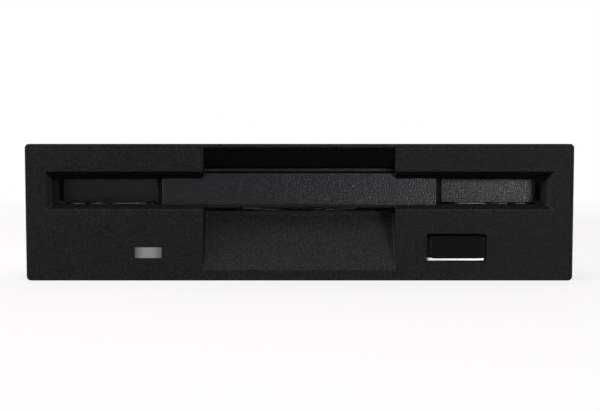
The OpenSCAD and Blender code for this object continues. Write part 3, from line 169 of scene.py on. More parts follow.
def grainedAbs(name, finish):
    material, tree, shader, coords = newMaterial(name)
    grain = finish["grain"]
    laid = addNode(tree, "ShaderNodeMapping", {"Scale": (finish["stretch"], 1.0, 1.0)}, {"Vector": coords})
    swirl = addNode(
        tree, "ShaderNodeTexNoise", {"Scale": 1 / (pebble["swirl"] * grain), "Detail": 2.0},
        {"Vector": laid.outputs[0]})
    bent = addNode(
        tree, "ShaderNodeVectorMath", {"operation": "MULTIPLY_ADD", 1: (pebble["bend"] * grain,) * 3},
        {0: swirl.outputs["Color"], 2: laid.outputs[0]})
    pebbles = addNode(
        tree, "ShaderNodeTexVoronoi", {"feature": "DISTANCE_TO_EDGE", "Scale": 1 / grain},
        {"Vector": bent.outputs[0]})
    domes = addNode(
        tree, "ShaderNodeMapRange", {"interpolation_type": "SMOOTHSTEP", "From Max": pebble["edge"]},
        {"Value": pebbles.outputs["Distance"]})
    fine = addNode(
        tree, "ShaderNodeTexNoise", {"Scale": 1 / (pebble["fine"] * grain), "Detail": 3.0},
        {"Vector": laid.outputs[0]})
    height = addNode(
        tree, "ShaderNodeMix", {"data_type": "FLOAT", 0: pebble["fineShare"]},
        {2: domes.outputs["Result"], 3: fine.outputs["Fac"]})
    bump = addNode(
        tree, "ShaderNodeBump", {"Strength": 1.0, "Distance": finish["depth"]}, {"Height": height.outputs[0]})
    # Painted shade in the grain's hollows: the valleys are painted darker than the pebble tops
    tint = addNode(
        tree, "ShaderNodeMix", {"data_type": "RGBA", 6: linear(finish["valley"]), 7: linear(finish["top"])},
        {0: height.outputs[0]})
    # Painted shade: the faces that turn away along one part of the normal are painted darker and shine less;
    # on the bezel these are the faces that look down, such as the recess and the slot's top chamfers, and on
    # the flap its edges and bevels. How shiny a face is follows that part of the normal
    parts = normalParts(tree)
    facingShade = addNode(
        tree, "ShaderNodeMapRange",
        {"interpolation_type": "SMOOTHSTEP", "From Min": finish["fullShadeAt"], "From Max": finish["noShadeAt"],
         "To Min": pebble["fullShadeShare"]},
        {"Value": parts[finish["facing"]]})
    # Painted light and shade by facing: the scoop, which looks a little up, is painted lighter and shinier,
    # and the faces that look further up, such as the ledges under the slot, are painted darker and less shiny
    levels = []
    for place, (least, full) in upwardPart.items():
        level = addNode(
            tree, "ShaderNodeMapRange",
            {"From Min": least, "From Max": full, "To Min": 1.0, "To Max": finish[place]},
            {"Value": parts["Z"]})
        levels.append(level.outputs[0])
    paintedByPlace = addNode(
        tree, "ShaderNodeMath", {"operation": "MULTIPLY"}, {0: levels[0], 1: levels[1]})
    share = addNode(
        tree, "ShaderNodeMath", {"operation": "MULTIPLY"}, {0: facingShade.outputs[0], 1: paintedByPlace.outputs[0]})
    colour = addNode(
        tree, "ShaderNodeVectorMath", {"operation": "SCALE"}, {0: tint.outputs[2], "Scale": share.outputs[0]})
    shine = addNode(
        tree, "ShaderNodeMath", {"operation": "MULTIPLY", 1: finish["specular"]}, {0: share.outputs[0]})
    tree.links.new(shine.outputs[0], shader.inputs["Specular IOR Level"])
    tree.links.new(colour.outputs[0], shader.inputs["Base Color"])
    tree.links.new(bump.outputs["Normal"], shader.inputs["Normal"])
    shader.inputs["Roughness"].default_value = finish["roughness"]
    return material


# ABS polished in the tool: the button's face has a clean shine with faint scuffs, its sides are dull. The
# normal's y is below face on its face and above side on its sides.
buttonFinish = {
    "colour": "#060607", "roughness": 0.16, "smoother": 0.05, "rougher": 0.1, "sides": 0.7, "specular": 0.05,
    "scuff": 1.2 * mm, "face": -0.8, "side": -0.4}


def polishedAbs(name, finish):
    material, tree, shader, coords = newMaterial(name)
    shader.inputs["Base Color"].default_value = linear(finish["colour"])
    shader.inputs["Specular IOR Level"].default_value = finish["specular"]
    scuffs = addNode(
        tree, "ShaderNodeTexNoise", {"Scale": 1 / finish["scuff"], "Detail": 6.0}, {"Vector": coords})
    smoothest, roughest = finish["roughness"] - finish["smoother"], finish["roughness"] + finish["rougher"]
    rough = addNode(
        tree, "ShaderNodeMapRange", {"To Min": smoothest, "To Max": roughest},
        {"Value": scuffs.outputs["Fac"]})
    side = addNode(
        tree, "ShaderNodeMapRange", {"From Min": finish["face"], "From Max": finish["side"]},
        {"Value": normalParts(tree)["Y"]})
    worn = addNode(
        tree, "ShaderNodeMix", {"data_type": "FLOAT", 3: finish["sides"]},
        {0: side.outputs["Result"], 2: rough.outputs["Result"]})
    tree.links.new(worn.outputs[0], shader.inputs["Roughness"])
    return material


# Frosted grey acrylic: paler in the middle, where the lamp's body stands behind it
lensFinish = {
    "colour": "#424241", "pale": "#6c6c6b", "roughness": 0.3, "ior": 1.49, "halfWidth": 2.6 * mm,
    "frost": 0.25 * mm, "depth": 0.02 * mm}


def frostedAcrylic(name, finish, middleX):
    material, tree, shader, coords = newMaterial(name)
    place = addNode(tree, "ShaderNodeSeparateXYZ", None, {"Vector": coords})
    off = addNode(tree, "ShaderNodeMath", {"operation": "SUBTRACT", 1: middleX}, {0: place.outputs["X"]})
    side = addNode(tree, "ShaderNodeMath", {"operation": "ABSOLUTE"}, {0: off.outputs[0]})
    edge = addNode(
        tree, "ShaderNodeMapRange",
        {"interpolation_type": "SMOOTHSTEP", "From Min": finish["halfWidth"] / 4,
         "From Max": finish["halfWidth"]},
        {"Value": side.outputs[0]})
    tint = addNode(
        tree, "ShaderNodeMix", {"data_type": "RGBA", 6: linear(finish["pale"]), 7: linear(finish["colour"])},
        {0: edge.outputs["Result"]})
    tree.links.new(tint.outputs[2], shader.inputs["Base Color"])
    shader.inputs["Roughness"].default_value = finish["roughness"]
    shader.inputs["IOR"].default_value = finish["ior"]
    frost = addNode(
        tree, "ShaderNodeTexNoise", {"Scale": 1 / finish["frost"], "Detail": 2.0}, {"Vector": coords})
    bump = addNode(
        tree, "ShaderNodeBump", {"Strength": 0.3, "Distance": finish["depth"]},
        {"Height": frost.outputs["Fac"]})
    tree.links.new(bump.outputs["Normal"], shader.inputs["Normal"])
    return material


# Metals and plastics with one colour, its paler mottle and a fine bump. Grit and depth are in millimetres.
plainFinishes = {
    # zinc-plated steel: bright, bluish, with a faint spangle; the faces that look up are painted nearly black
    # and rough, painted shade that also hides their reflections
    "zinc_steel": {
        "colour": "#c8cbce", "pale": "#dadcdd", "metallic": 1.0, "rough": 0.3, "grit": 0.5, "depth": 0.004,
        "upwardShadeColour": "#17181a"},
    # electro-galvanised sheet: satin, with a soft mottle
    "cover_steel": {
        "colour": "#b3b5b6", "pale": "#c3c5c5", "metallic": 1.0, "rough": 0.38, "grit": 0.6, "depth": 0.004},
    # die-cast aluminium: grey, dull and slightly pebbled
    "cast_alloy": {
        "colour": "#9fa1a2", "pale": "#b3b4b4", "metallic": 1.0, "rough": 0.55, "grit": 0.5, "depth": 0.03},
    # music wire: drawn smooth, it shines along its length
    "spring_steel": {
        "colour": "#b4b6b8", "pale": "#c6c8ca", "metallic": 1.0, "rough": 0.25, "grit": 0.2, "depth": 0.002},
    # ground and polished bar: it mirrors what is beside it
    "ground_steel": {
        "colour": "#d2d4d5", "pale": "#e0e1e2", "metallic": 1.0, "rough": 0.14, "grit": 0.2, "depth": 0.001},
    # blackened screws: dark grey with a half shine
    "screw_steel": {
        "colour": "#6e7073", "pale": "#85878a", "metallic": 1.0, "rough": 0.35, "grit": 0.3, "depth": 0.004},
    # sintered brass: yellow, with the satin of its pores
    "brass_metal": {
        "colour": "#b59455", "pale": "#c9a868", "metallic": 1.0, "rough": 0.35, "grit": 0.25, "depth": 0.006},
    # epoxy glass board under solder resist: green and half glossy
    "board_laminate": {
        "colour": "#1f5536", "pale": "#276a43", "metallic": 0.0, "rough": 0.35, "grit": 0.9, "depth": 0.01},
    # moulded epoxy of the chips: black and matt
    "chip_resin": {
        "colour": "#1f1f20", "pale": "#29292a", "metallic": 0.0, "rough": 0.6, "grit": 0.15, "depth": 0.008},
    # stamped electrical steel: grey and satin
    "core_steel": {
        "colour": "#6f7276", "pale": "#85888b", "metallic": 1.0, "rough": 0.42, "grit": 0.3, "depth": 0.004},
    # enamelled copper: reddish brown with a warm shine
    "copper_wire": {
        "colour": "#b5622c", "pale": "#c87a40", "metallic": 1.0, "rough": 0.3, "grit": 0.2, "depth": 0.004},
    # bonded ferrite: nearly black, matt
    "magnet_ferrite": {
        "colour": "#2a2a2b", "pale": "#353536", "metallic": 0.0, "rough": 0.65, "grit": 0.2, "depth": 0.01},
    # gold-flashed brass pins: yellow and bright
    "gold_contact": {
        "colour": "#d9b257", "pale": "#e6c675", "metallic": 1.0, "rough": 0.22, "grit": 0.2, "depth": 0.001},
    # nylon, a little yellowed: pale and softly shiny
    "white_nylon": {
        "colour": "#dedacb", "pale": "#e8e5da", "metallic": 0.0, "rough": 0.45, "grit": 0.3, "depth": 0.006},
    # natural acetal: the colour of bone, waxy
    "bone_acetal": {
        "colour": "#cfcabb", "pale": "#d9d5c8", "metallic": 0.0, "rough": 0.4, "grit": 0.3, "depth": 0.006},
    # barium titanate, lapped: brown grey with a clean shine
    "head_ceramic": {
        "colour": "#6f665c", "pale": "#7d746a", "metallic": 0.0, "rough": 0.18, "grit": 0.2, "depth": 0.001},
    # polyimide film over copper: amber
    "film_cable": {
        "colour": "#a8702c", "pale": "#bd8440", "metallic": 0.0, "rough": 0.3, "grit": 0.3, "depth": 0.004},
    # water-clear epoxy of the lamp: pale, with a greenish tint
    "lamp_resin": {
        "colour": "#c9cfbf", "pale": "#d5dacb", "metallic": 0.0, "rough": 0.15, "grit": 0.3, "depth": 0.002},
}
# The mottle of a finish: its size, and by how much its dark parts are smoother and its pale parts rougher
mottling = {"size": 6 * mm, "smoother": 0.05, "rougher": 0.08}
# The painted shade on faces that look up: the upward part of the normal at which it begins and at which it is
# full, the share of the metal that it then hides, and its shine, which fades as it thickens
upwardShade = {"least": 0.6, "full": 0.9, "cover": 0.85, "shine": 0.5}


def plainFinish(name, finish):
    material, tree, shader, coords = newMaterial(name)
    mottle = addNode(
        tree, "ShaderNodeTexNoise", {"Scale": 1 / mottling["size"], "Detail": 5.0, "Roughness": 0.6},
        {"Vector": coords})
    tint = addNode(
        tree, "ShaderNodeMix", {"data_type": "RGBA", 6: linear(finish["colour"]), 7: linear(finish["pale"])},
        {0: mottle.outputs["Fac"]})
    grit = addNode(
        tree, "ShaderNodeTexNoise", {"Scale": 1 / (finish["grit"] * mm), "Detail": 3.0}, {"Vector": coords})
    bump = addNode(
        tree, "ShaderNodeBump", {"Strength": 1.0, "Distance": finish["depth"] * mm},
        {"Height": grit.outputs["Fac"]})
    rough = addNode(
        tree, "ShaderNodeMapRange",
        {"To Min": finish["rough"] - mottling["smoother"],
         "To Max": finish["rough"] + mottling["rougher"]},
        {"Value": mottle.outputs["Fac"]})
    tree.links.new(tint.outputs[2], shader.inputs["Base Color"])
    tree.links.new(rough.outputs["Result"], shader.inputs["Roughness"])
    tree.links.new(bump.outputs["Normal"], shader.inputs["Normal"])
    shader.inputs["Metallic"].default_value = finish["metallic"]
    if "upwardShadeColour" in finish:
        addUpwardShade(tree, shader, tint.outputs[2], rough.outputs["Result"], finish["upwardShadeColour"])
    return material


def addUpwardShade(tree, shader, colour, roughness, upwardShadeColour):
    # Painted shade: the more a face looks up, the more its metal is hidden under a dark, rough coat
    upward = addNode(
        tree, "ShaderNodeMapRange",
        {"From Min": upwardShade["least"], "From Max": upwardShade["full"], "To Max": upwardShade["cover"]},
        {"Value": normalParts(tree)["Z"]})
    unshaded = addNode(tree, "ShaderNodeMath", {"operation": "SUBTRACT", 0: 1.0}, {1: upward.outputs[0]})
    shadedMetal = addNode(
        tree, "ShaderNodeMix", {"data_type": "RGBA", 7: linear(upwardShadeColour)}, {0: upward.outputs[0], 6: colour})
    rough = addNode(
        tree, "ShaderNodeMath", {"operation": "MAXIMUM"}, {0: roughness, 1: upward.outputs[0]})
    shine = addNode(
        tree, "ShaderNodeMath", {"operation": "MULTIPLY", 1: upwardShade["shine"]}, {0: unshaded.outputs[0]})
    tree.links.new(shadedMetal.outputs[2], shader.inputs["Base Color"])
    tree.links.new(rough.outputs[0], shader.inputs["Roughness"])
    tree.links.new(unshaded.outputs[0], shader.inputs["Metallic"])
    tree.links.new(shine.outputs[0], shader.inputs["Specular IOR Level"])


materials = {slot: plainFinish(slot, finish) for slot, finish in plainFinishes.items()}
materials["bezel_plastic"] = grainedAbs("bezelAbs", bezelFinish)
materials["flap_plastic"] = grainedAbs("flapAbs", flapFinish)
materials["button_plastic"] = polishedAbs("buttonAbs", buttonFinish)
lensLow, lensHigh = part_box("lamp_lens")
materials["lens_plastic"] = frostedAcrylic("lensAcrylic", lensFinish, (lensLow.x + lensHigh.x) / 2)
print("materials made:", len(materials))

# Each CAD node's own material is named for its slot
for node, cad in frame["nodes"].items():
    slotName = cad.data.materials[0].name.split(".")[0]
    cad.data.materials[0] = materials[slotName]
    cad["slotName"] = slotName

# Rigid pieces whose edges are rounded: the radius in millimetres that moulding, casting or blanking leaves
edgeRadius = {
    "front_bezel": 0.22, "dust_flap": 0.2, "eject_button": 0.28, "lamp_lens": 0.12, "top_cover": 0.1,
    "chassis": 0.16, "eject_slide": 0.08, "disk_cradle": 0.08, "signal_header": 0.15, "power_header": 0.15,
    "head_carriage": 0.15, "head_arm": 0.12, "stepper_case": 0.2, "stepper_bracket": 0.1, "motor_board": 0.04,
    "main_board": 0.04, "trigger_lever": 0.12, "rotor": 0.1, "hub_plate": 0.1, "screw_bearing": 0.1,
    "cable_socket": 0.1, "track_sensor": 0.08, "switch_bodies": 0.08, "rod_clamps": 0.05,
}
# An edge is rounded where its faces turn by more than the crease, and takes at most a share of their width.
# Vertices within merge are one, and faces within flat are one face. Angles are in degrees. When a face's
# width is measured, what is nearer than touching is the edge itself, and what lies farther beyond the edge's
# ends than slant times its distance doesn't count.
edging = {
    "crease": 16, "flat": 0.4, "merge": 0.0005 * mm, "share": 0.42, "segments": 3, "touching": 0.001 * mm,
    "slant": 0.5}


def roomBeside(edge, face):
    # How wide the face is beside this edge
    start, end = edge.verts[0].co, edge.verts[1].co
    length = (end - start).length
    along = np.array((end - start) / length)
    points = np.array([v.co for v in face.verts])
    off = points - np.array(start)
    place = off @ along
    beside = np.linalg.norm(off - place[:, None] * along, axis=1)
    beyond = np.maximum(np.maximum(-place, place - length), 0)
    near = (beside > edging["touching"]) & (beyond < edging["slant"] * beside)
    room = beside[near].min() if near.any() else math.inf
    # The same for the edges that pass the middle of this one
    middle = np.array((start + end) / 2)
    run = np.roll(points, -1, axis=0) - points
    share = np.clip(((middle - points) * run).sum(1) / np.maximum((run * run).sum(1), 1e-18), 0, 1)
    gap = points + share[:, None] * run - middle
    side = gap @ along
    across = np.linalg.norm(gap - side[:, None] * along, axis=1)
    near = (across > edging["touching"]) & (np.abs(side) < length / 2 + edging["slant"] * across)
    apart = np.linalg.norm(points - middle, axis=1) > length / 2 * 1.001
    near &= apart & np.roll(apart, -1)
    return min(room, across[near].min()) if near.any() else room


def softened(node, radius, crisp=()):
    # A copy of the CAD node: doubles merged, flat faces made whole, then every edge over the angle rounded,
    # with a smaller radius where its faces are narrow, and left sharp within the crisp boxes
    source = frame["nodes"][node]
    mesh = source.data.copy()
    mesh.name = node + "Skin"
    sheet = bmesh.new()
    sheet.from_mesh(mesh)
    bmesh.ops.remove_doubles(sheet, verts=sheet.verts, dist=edging["merge"])
    bmesh.ops.dissolve_limit(
        sheet, angle_limit=math.radians(edging["flat"]), verts=sheet.verts, edges=sheet.edges)
    weight = sheet.edges.layers.float.new("bevel_weight_edge")
    for edge in sheet.edges:
        if len(edge.link_faces) != 2 or edge.calc_face_angle() <= math.radians(edging["crease"]):
            continue
        middle = (edge.verts[0].co + edge.verts[1].co) / 2
        if any(all(low[k] < middle[k] < high[k] for k in range(3)) for low, high in crisp):
            edge.smooth = False
        else:
            room = min(roomBeside(edge, face) for face in edge.link_faces)
            edge[weight] = min(1.0, edging["share"] * room / (radius * mm))
    sheet.to_mesh(mesh)
    sheet.free()
    if "custom_normal" in mesh.attributes:
        mesh.attributes.remove(mesh.attributes["custom_normal"])
    mesh.polygons.foreach_set("use_smooth", np.ones(len(mesh.polygons), bool))
    piece = bpy.data.objects.new(node + "Skin", mesh)
    scene.collection.objects.link(piece)
    rounding = piece.modifiers.new("rounding", "BEVEL")
    rounding.width = radius * mm
    rounding.segments = edging["segments"]
    rounding.limit_method = "WEIGHT"
    rounding.use_clamp_overlap = False
    rounding.harden_normals = True
    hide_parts(node)
    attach(piece, source["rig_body"])
    return piece


# The edges of the two windows in the bezel are sharp
windowReach = Vector((1.4, 3.0, 1.4)) * mm
windows = []
for node in ("eject_button", "lamp_lens"):
    low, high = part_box(node)
    windows.append((low - windowReach, high + windowReach))
for node, radius in edgeRadius.items():
    softened(node, radius, windows if node == "front_bezel" else ())
print("edges rounded:", len(edgeRadius))


def closedSurface(rings):
    # Rings of points joined by four-sided faces, closed at both ends and turned outwards
    rings = np.asarray(rings, float)
    index = np.arange(rings.shape[0] * rings.shape[1]).reshape(rings.shape[:2])
    around = np.roll(index, -1, axis=1)
    quads = np.stack([index[:-1], around[:-1], around[1:], index[1:]], -1).reshape(-1, 4)
    points = rings.reshape(-1, 3)
    a, b, c, d = (points[quads[:, k]] for k in range(4))
    volume = (np.cross(b - a, c - a) * a).sum() + (np.cross(c - a, d - a) * a).sum()
    faces = quads.tolist() + [index[0][::-1].tolist(), index[-1].tolist()]
    if volume < 0:
        faces = [face[::-1] for face in faces]
    return points, faces


def newPiece(name, parts, slotName, creaseAngle=35):
    # One object of many closed surfaces, with the finish of a slot of the record
    points, faces, start = [], [], 0
    for more, theirs in parts:
        points.append(more)
        faces += [[start + k for k in face] for face in theirs]
        start += len(more)
    mesh = bpy.data.meshes.new(name)
    mesh.from_pydata(np.concatenate(points).tolist(), [], faces)
    mesh.polygons.foreach_set("use_smooth", np.ones(len(faces), bool))
    mesh.set_sharp_from_angle(angle=math.radians(creaseAngle))
    mesh.materials.append(materials[slotName])
    holder = bpy.data.objects.new(name, mesh)
    scene.collection.objects.link(holder)
    return holder


def tube(route, radius, sides=10):
    # A round wire: a ring across each point of its route, turned as little as may be from the ring before
    route = np.asarray(route, float)
    ahead = np.gradient(route, axis=0)
    ahead /= np.linalg.norm(ahead, axis=1)[:, None]
    up = np.cross(ahead[0], (0.31, 0.52, 0.79))
    ups = []
    for along in ahead:
        up = up - along * (up @ along)
        up /= np.linalg.norm(up)
        ups.append(up)
    ups = np.array(ups)[:, None]
    beside = np.cross(ahead, ups[:, 0])[:, None]
    turn = np.linspace(0, 2 * np.pi, sides, endpoint=False)[None, :, None]
    return closedSurface(route[:, None] + radius * (np.cos(turn) * ups + np.sin(turn) * beside))


def middleOf(node):
    low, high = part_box(node)
    return (np.array(low) + np.array(high)) / 2, (np.array(high) - np.array(low)) / 2


def islandsOf(node):
    # The boxes of the node's separate solids, as middles and half sizes
    mesh = frame["nodes"][node].data
    points = np.zeros(len(mesh.vertices) * 3)
    mesh.vertices.foreach_get("co", points)
    points = points.reshape(-1, 3) @ np.array(frame["nodes"][node].matrix_world.to_3x3()).T
    points += np.array(frame["nodes"][node].matrix_world.translation)
    # Vertices at one place count as one
    places, which = np.unique(points.round(7), axis=0, return_inverse=True)
    group = np.arange(len(places))
    which = which.reshape(-1)
    edges = np.zeros(len(mesh.edges) * 2, int)
    mesh.edges.foreach_get("vertices", edges)
    edges = which[edges.reshape(-1, 2)]
    settled = False
    while not settled:
        least = np.minimum(group[edges[:, 0]], group[edges[:, 1]])
        before = group.copy()
        np.minimum.at(group, edges[:, 0], least)
        np.minimum.at(group, edges[:, 1], least)
        group = group[group]
        settled = (group == before).all()
    found = []
    for label in np.unique(group):
        own = places[group == label]
        found.append(((own.min(0) + own.max(0)) / 2, (own.max(0) - own.min(0)) / 2, own))
    return found


# Springs: music wire, wound about their own axis. hookTurn is the angle that a hook goes round, and gap the
# way from the coil to a hook.
springs = {
    "wire": 0.17 * mm, "stepsPerTurn": 20, "ejectTurns": 31, "hook": 0.62 * mm, "hookTurn": 1.65 * np.pi,
    "gap": 0.1 * mm}


def torsionSpring(node, turns, tail):
    # y = r cos a and z = r sin a while x grows evenly with a. The wire comes in from below and goes out
    # upwards, along the coil's tangent.
    middle, half = middleOf(node)
    radius = half[2] - springs["wire"]
    run = half[0] - springs["wire"]
    a = np.linspace(0, 2 * np.pi * turns, turns * springs["stepsPerTurn"] + 1)
    x = middle[0] - run + 2 * run * a / a[-1]
    coil = np.stack([x, middle[1] + radius * np.cos(a), middle[2] + radius * np.sin(a)], 1)
    lengths = np.linspace(tail, tail / 6, 5)[:, None]
    before = coil[0] - lengths * np.array([0, 0, 1])
    after = coil[-1] + lengths[::-1] * np.array([0, 0, 1])
    wire = tube(np.vstack([before, coil, after]), springs["wire"])
    spring = newPiece(node + "Wire", [wire], "spring_steel")
    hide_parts(node)
    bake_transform(spring)


def ejectSpring(name, x, middle, half):
    # A close coil about the y axis between two round hooks that stand upright
    radius = half[2] - springs["wire"]
    hook, gap = springs["hook"], springs["gap"]
    run = half[1] - springs["wire"] - 2 * hook
    turns = springs["ejectTurns"]
    a = np.linspace(0, 2 * np.pi * turns, turns * springs["stepsPerTurn"] + 1)
    y = middle[1] - run + 2 * run * a / a[-1]
    coil = np.stack([x + radius * np.cos(a), y, middle[2] + radius * np.sin(a)], 1)
    b = np.linspace(0, springs["hookTurn"], 22)
    # The wire comes in from the coil to the axis, then goes round: y from the coil outwards, z up and down
    loop = np.stack([np.full_like(b, x), hook * (1 - np.cos(b)), hook * np.sin(b)], 1)
    front = loop * [1, -1, 1] + [0, middle[1] - run - gap, middle[2]]
    back = loop + [0, middle[1] + run + gap, middle[2]]
    # A lead runs between the coil's end and the axis: its points lie at these shares of the coil's radius
    inward = np.linspace(0.85, 0.15, 5)[:, None]
    leads = []
    for tip, off, shares in ((coil[0], -gap / 2, inward[::-1]), (coil[-1], gap / 2, inward)):
        axis = np.array([x, tip[1], middle[2]])
        leads.append(axis + [0, off, 0] + shares * (tip - axis))
    route = np.vstack([front[::-1], leads[0], coil, leads[1], back])
    spring = newPiece(name, [tube(route, springs["wire"])], "spring_steel")
    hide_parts("eject_springs")
    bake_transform(spring)


torsionSpring("flap_spring", turns=3, tail=0.9 * mm)
torsionSpring("arm_spring", turns=2, tail=1.2 * mm)
ejectMiddle, ejectHalf = middleOf("eject_springs")
for side, name in ((-1, "leftEjectSpring"), (1, "rightEjectSpring")):
    ejectSpring(name, side * (ejectHalf[0] - ejectHalf[2]), ejectMiddle, ejectHalf)
print("springs wound")

# Flat cable of the heads: polyimide film laid in one hump of four quarter arcs, which opens as the carriage
# moves away
ribbon = {"thickness": 0.16 * mm, "steps": 14}


def flatCable(node, settings):
    low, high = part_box(node)
    arc = (high.z - low.z - settings["thickness"]) / 2
    tail = (high.y - low.y) / 2 - 2 * arc
    turn = np.linspace(0, np.pi / 2, settings["steps"])
    # Up one arc and level on the next: the foot is at 0, the crest at 2 arc, and heading is the slope
    along = np.concatenate([[-tail], arc * np.sin(turn), arc * (2 - np.cos(turn[1:]))])
    above = np.concatenate([[0.0], arc * (1 - np.cos(turn)), arc * (1 + np.sin(turn[1:]))])
    heading = np.concatenate([[0.0], turn, np.pi / 2 - turn[1:]])
    along = np.concatenate([along, (4 * arc - along)[-2::-1]])
    above = np.concatenate([above, above[-2::-1]])
    heading = np.concatenate([heading, -heading[-2::-1]])
    half = settings["thickness"] / 2
    middleZ = low.z + half
    rings = []
    for y, z, slope in zip(low.y + tail + along, middleZ + above, heading):
        offY, offZ = -half * math.sin(slope), half * math.cos(slope)
        over, under = (y + offY, z + offZ), (y - offY, z - offZ)
        rings.append([(low.x, *over), (high.x, *over), (high.x, *under), (low.x, *under)])
    cable = newPiece("headRibbon", [closedSurface(rings)], "film_cable")
    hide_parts(node)
    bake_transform(cable)


flatCable("head_cable", ribbon)
print("cable laid")

# Lead screw: one round groove, cut at the pitch that moves the carriage by its travel. The phase puts the
# groove over the follower.
thread = {
    "pitch": 3.75 * mm, "depth": 0.34 * mm, "width": 0.55 * mm, "phase": 0.75, "neck": 0.5 * mm,
    "neckLength": 0.8 * mm, "chamfer": 0.15 * mm, "stations": 560, "sides": 40}


def groovedScrew(node, body):
    # The radius at height y and angle a is R - depth * exp(-(s / width)^2), s being the way along y to the
    # groove
    middle, half = middleOf(node)
    follower, _ = middleOf("follower")
    y = np.linspace(-half[1], half[1], thread["stations"])
    a = np.linspace(0, 2 * np.pi, thread["sides"], endpoint=False)
    turned = (middle[1] + y[:, None] - follower[1]) / thread["pitch"] - a[None] / (2 * np.pi)
    turned += thread["phase"]
    s = (turned - np.round(turned)) * thread["pitch"]
    radius = half[0] - thread["depth"] * np.exp(-((s / thread["width"]) ** 2))
    radius[y < thread["neckLength"] - half[1]] = half[0] - thread["neck"]
    end = np.minimum(y + half[1], half[1] - y)[:, None]
    radius = np.minimum(radius, half[0] - np.maximum(0, thread["chamfer"] - end) * (end > 0))
    rings = np.stack([
        middle[0] + radius * np.sin(a), np.broadcast_to(middle[1] + y[:, None], radius.shape),
        middle[2] + radius * np.cos(a)], -1)
    screw = newPiece(node + "Thread", [closedSurface(rings)], "ground_steel")
    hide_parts(node)
    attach(screw, body)


groovedScrew("lead_screw", "lead_screw")
print("screw threaded")

# Stator windings: enamelled wire in one layer round each tooth, from the hub outwards. The spacing is in wire
# radii, and a squareness of 1 would be an ellipse.
winding = {"wire": 0.17 * mm, "stepsPerTurn": 16, "spacing": 2.05, "squareness": 0.5, "sides": 6}


def statorWindings():
    hub, _ = middleOf("stator_core")
    parts = []
    for middle, half, own in islandsOf("stator_coils"):
        out = middle[:2] - hub[:2]
        angle = math.atan2(out[1], out[0])
        away = np.array([math.cos(angle), math.sin(angle)])
        across = np.array([-away[1], away[0]])
        radial = (own[:, :2] - hub[:2]) @ away
        wide = np.abs((own[:, :2] - hub[:2]) @ across).max() - winding["wire"]
        inner, outer = radial.min() + winding["wire"], radial.max() - winding["wire"]
        turns = int((outer - inner) / (winding["spacing"] * winding["wire"]))
        a = np.linspace(0, 2 * np.pi * turns, turns * winding["stepsPerTurn"] + 1)
        tall = half[2] - winding["wire"]
        # A rounded oblong: the root of the cosine and of the sine push the loop into its corners
        side = wide * np.sign(np.cos(a)) * np.abs(np.cos(a)) ** winding["squareness"]
        up = tall * np.sign(np.sin(a)) * np.abs(np.sin(a)) ** winding["squareness"]
        reach = inner + (outer - inner) * a / a[-1]
        flat = hub[:2] + reach[:, None] * away + side[:, None] * across
        route = np.column_stack([flat, middle[2] + up])
        parts.append(tube(route, winding["wire"], winding["sides"]))
    coils = newPiece("statorWindings", parts, "copper_wire", creaseAngle=60)
    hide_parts("stator_coils")
    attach(coils, "root")
    return len(parts)


print("windings:", statorWindings())


# Boards: chips with bent legs, and small parts of two sizes with tinned ends, all on the undersides. The
# small parts keep the free margins from what else is there.
boardParts = {
    "legPitch": 1.27 * mm, "legWidth": 0.4 * mm, "legSheet": 0.13 * mm, "legReach": 1.2 * mm,
    "chipTall": 1.0 * mm, "chipEdge": 0.14 * mm, "passive": (1.0 * mm, 0.62 * mm, 0.5 * mm), "larger": 1.35,
    "cap": 0.25 * mm, "tin": 0.02 * mm, "partEdge": 0.05 * mm, "step": 4.3 * mm}
freeMargin = {"chips": 1.6 * mm, "mainBoard": 1.8 * mm, "rotor": 2.5 * mm, "motorBoard": 2.2 * mm}


def roundedBlock(middle, half, radius, steps=4):
    # Rings round an upright axis: each is the block's outline with round corners, drawn in near both ends
    sides = np.array(half[:2])
    corner = np.linspace(0, np.pi / 2, steps + 1)
    outline = []
    for k, signs in enumerate(((1, 1), (-1, 1), (-1, -1), (1, -1))):
        turn = corner + k * np.pi / 2
        outline.append((sides - radius) * signs + radius * np.column_stack([np.cos(turn), np.sin(turn)]))
    outline = np.vstack(outline)
    fall = np.linspace(0, np.pi / 2, 4)
    insets = radius * (1 - np.sin(np.concatenate([fall, fall[::-1]])))
    lower = radius * (1 - np.cos(fall)) - half[2]
    rings = []
    for inset, height in zip(insets, np.concatenate([lower, -lower[::-1]])):
        flat = np.array(middle[:2]) + outline * (1 - inset / sides)
        rings.append(np.column_stack([flat, np.full(len(flat), middle[2] + height)]))
    return closedSurface(rings)


def bentLeg(x, y, side, top, low):
    # A gull-wing leg: a flat strip out of the chip's side, up to the board and out again
    w, t = boardParts["legWidth"] / 2, boardParts["legSheet"] / 2
    reach, foot = boardParts["legReach"], top - t
    route = np.array([
        (-0.1 * mm, low), (0.3 * reach, low), (0.48 * reach, low + 0.25 * (top - low)),
        (0.55 * reach, foot - 0.1 * mm), (0.66 * reach, foot), (reach, foot)])
    along = np.gradient(route, axis=0)
    across = np.column_stack([-along[:, 1], along[:, 0]]) / np.linalg.norm(along, axis=1)[:, None] * t
    rings = []
    for (u, z), (du, dz) in zip(route, across):
        outer = [(x + side * (u + du), y + k * w, z + dz) for k in (-1, 1)]
        inner = [(x + side * (u - du), y + k * w, z - dz) for k in (1, -1)]
        rings.append(outer + inner)
    return closedSurface(rings)


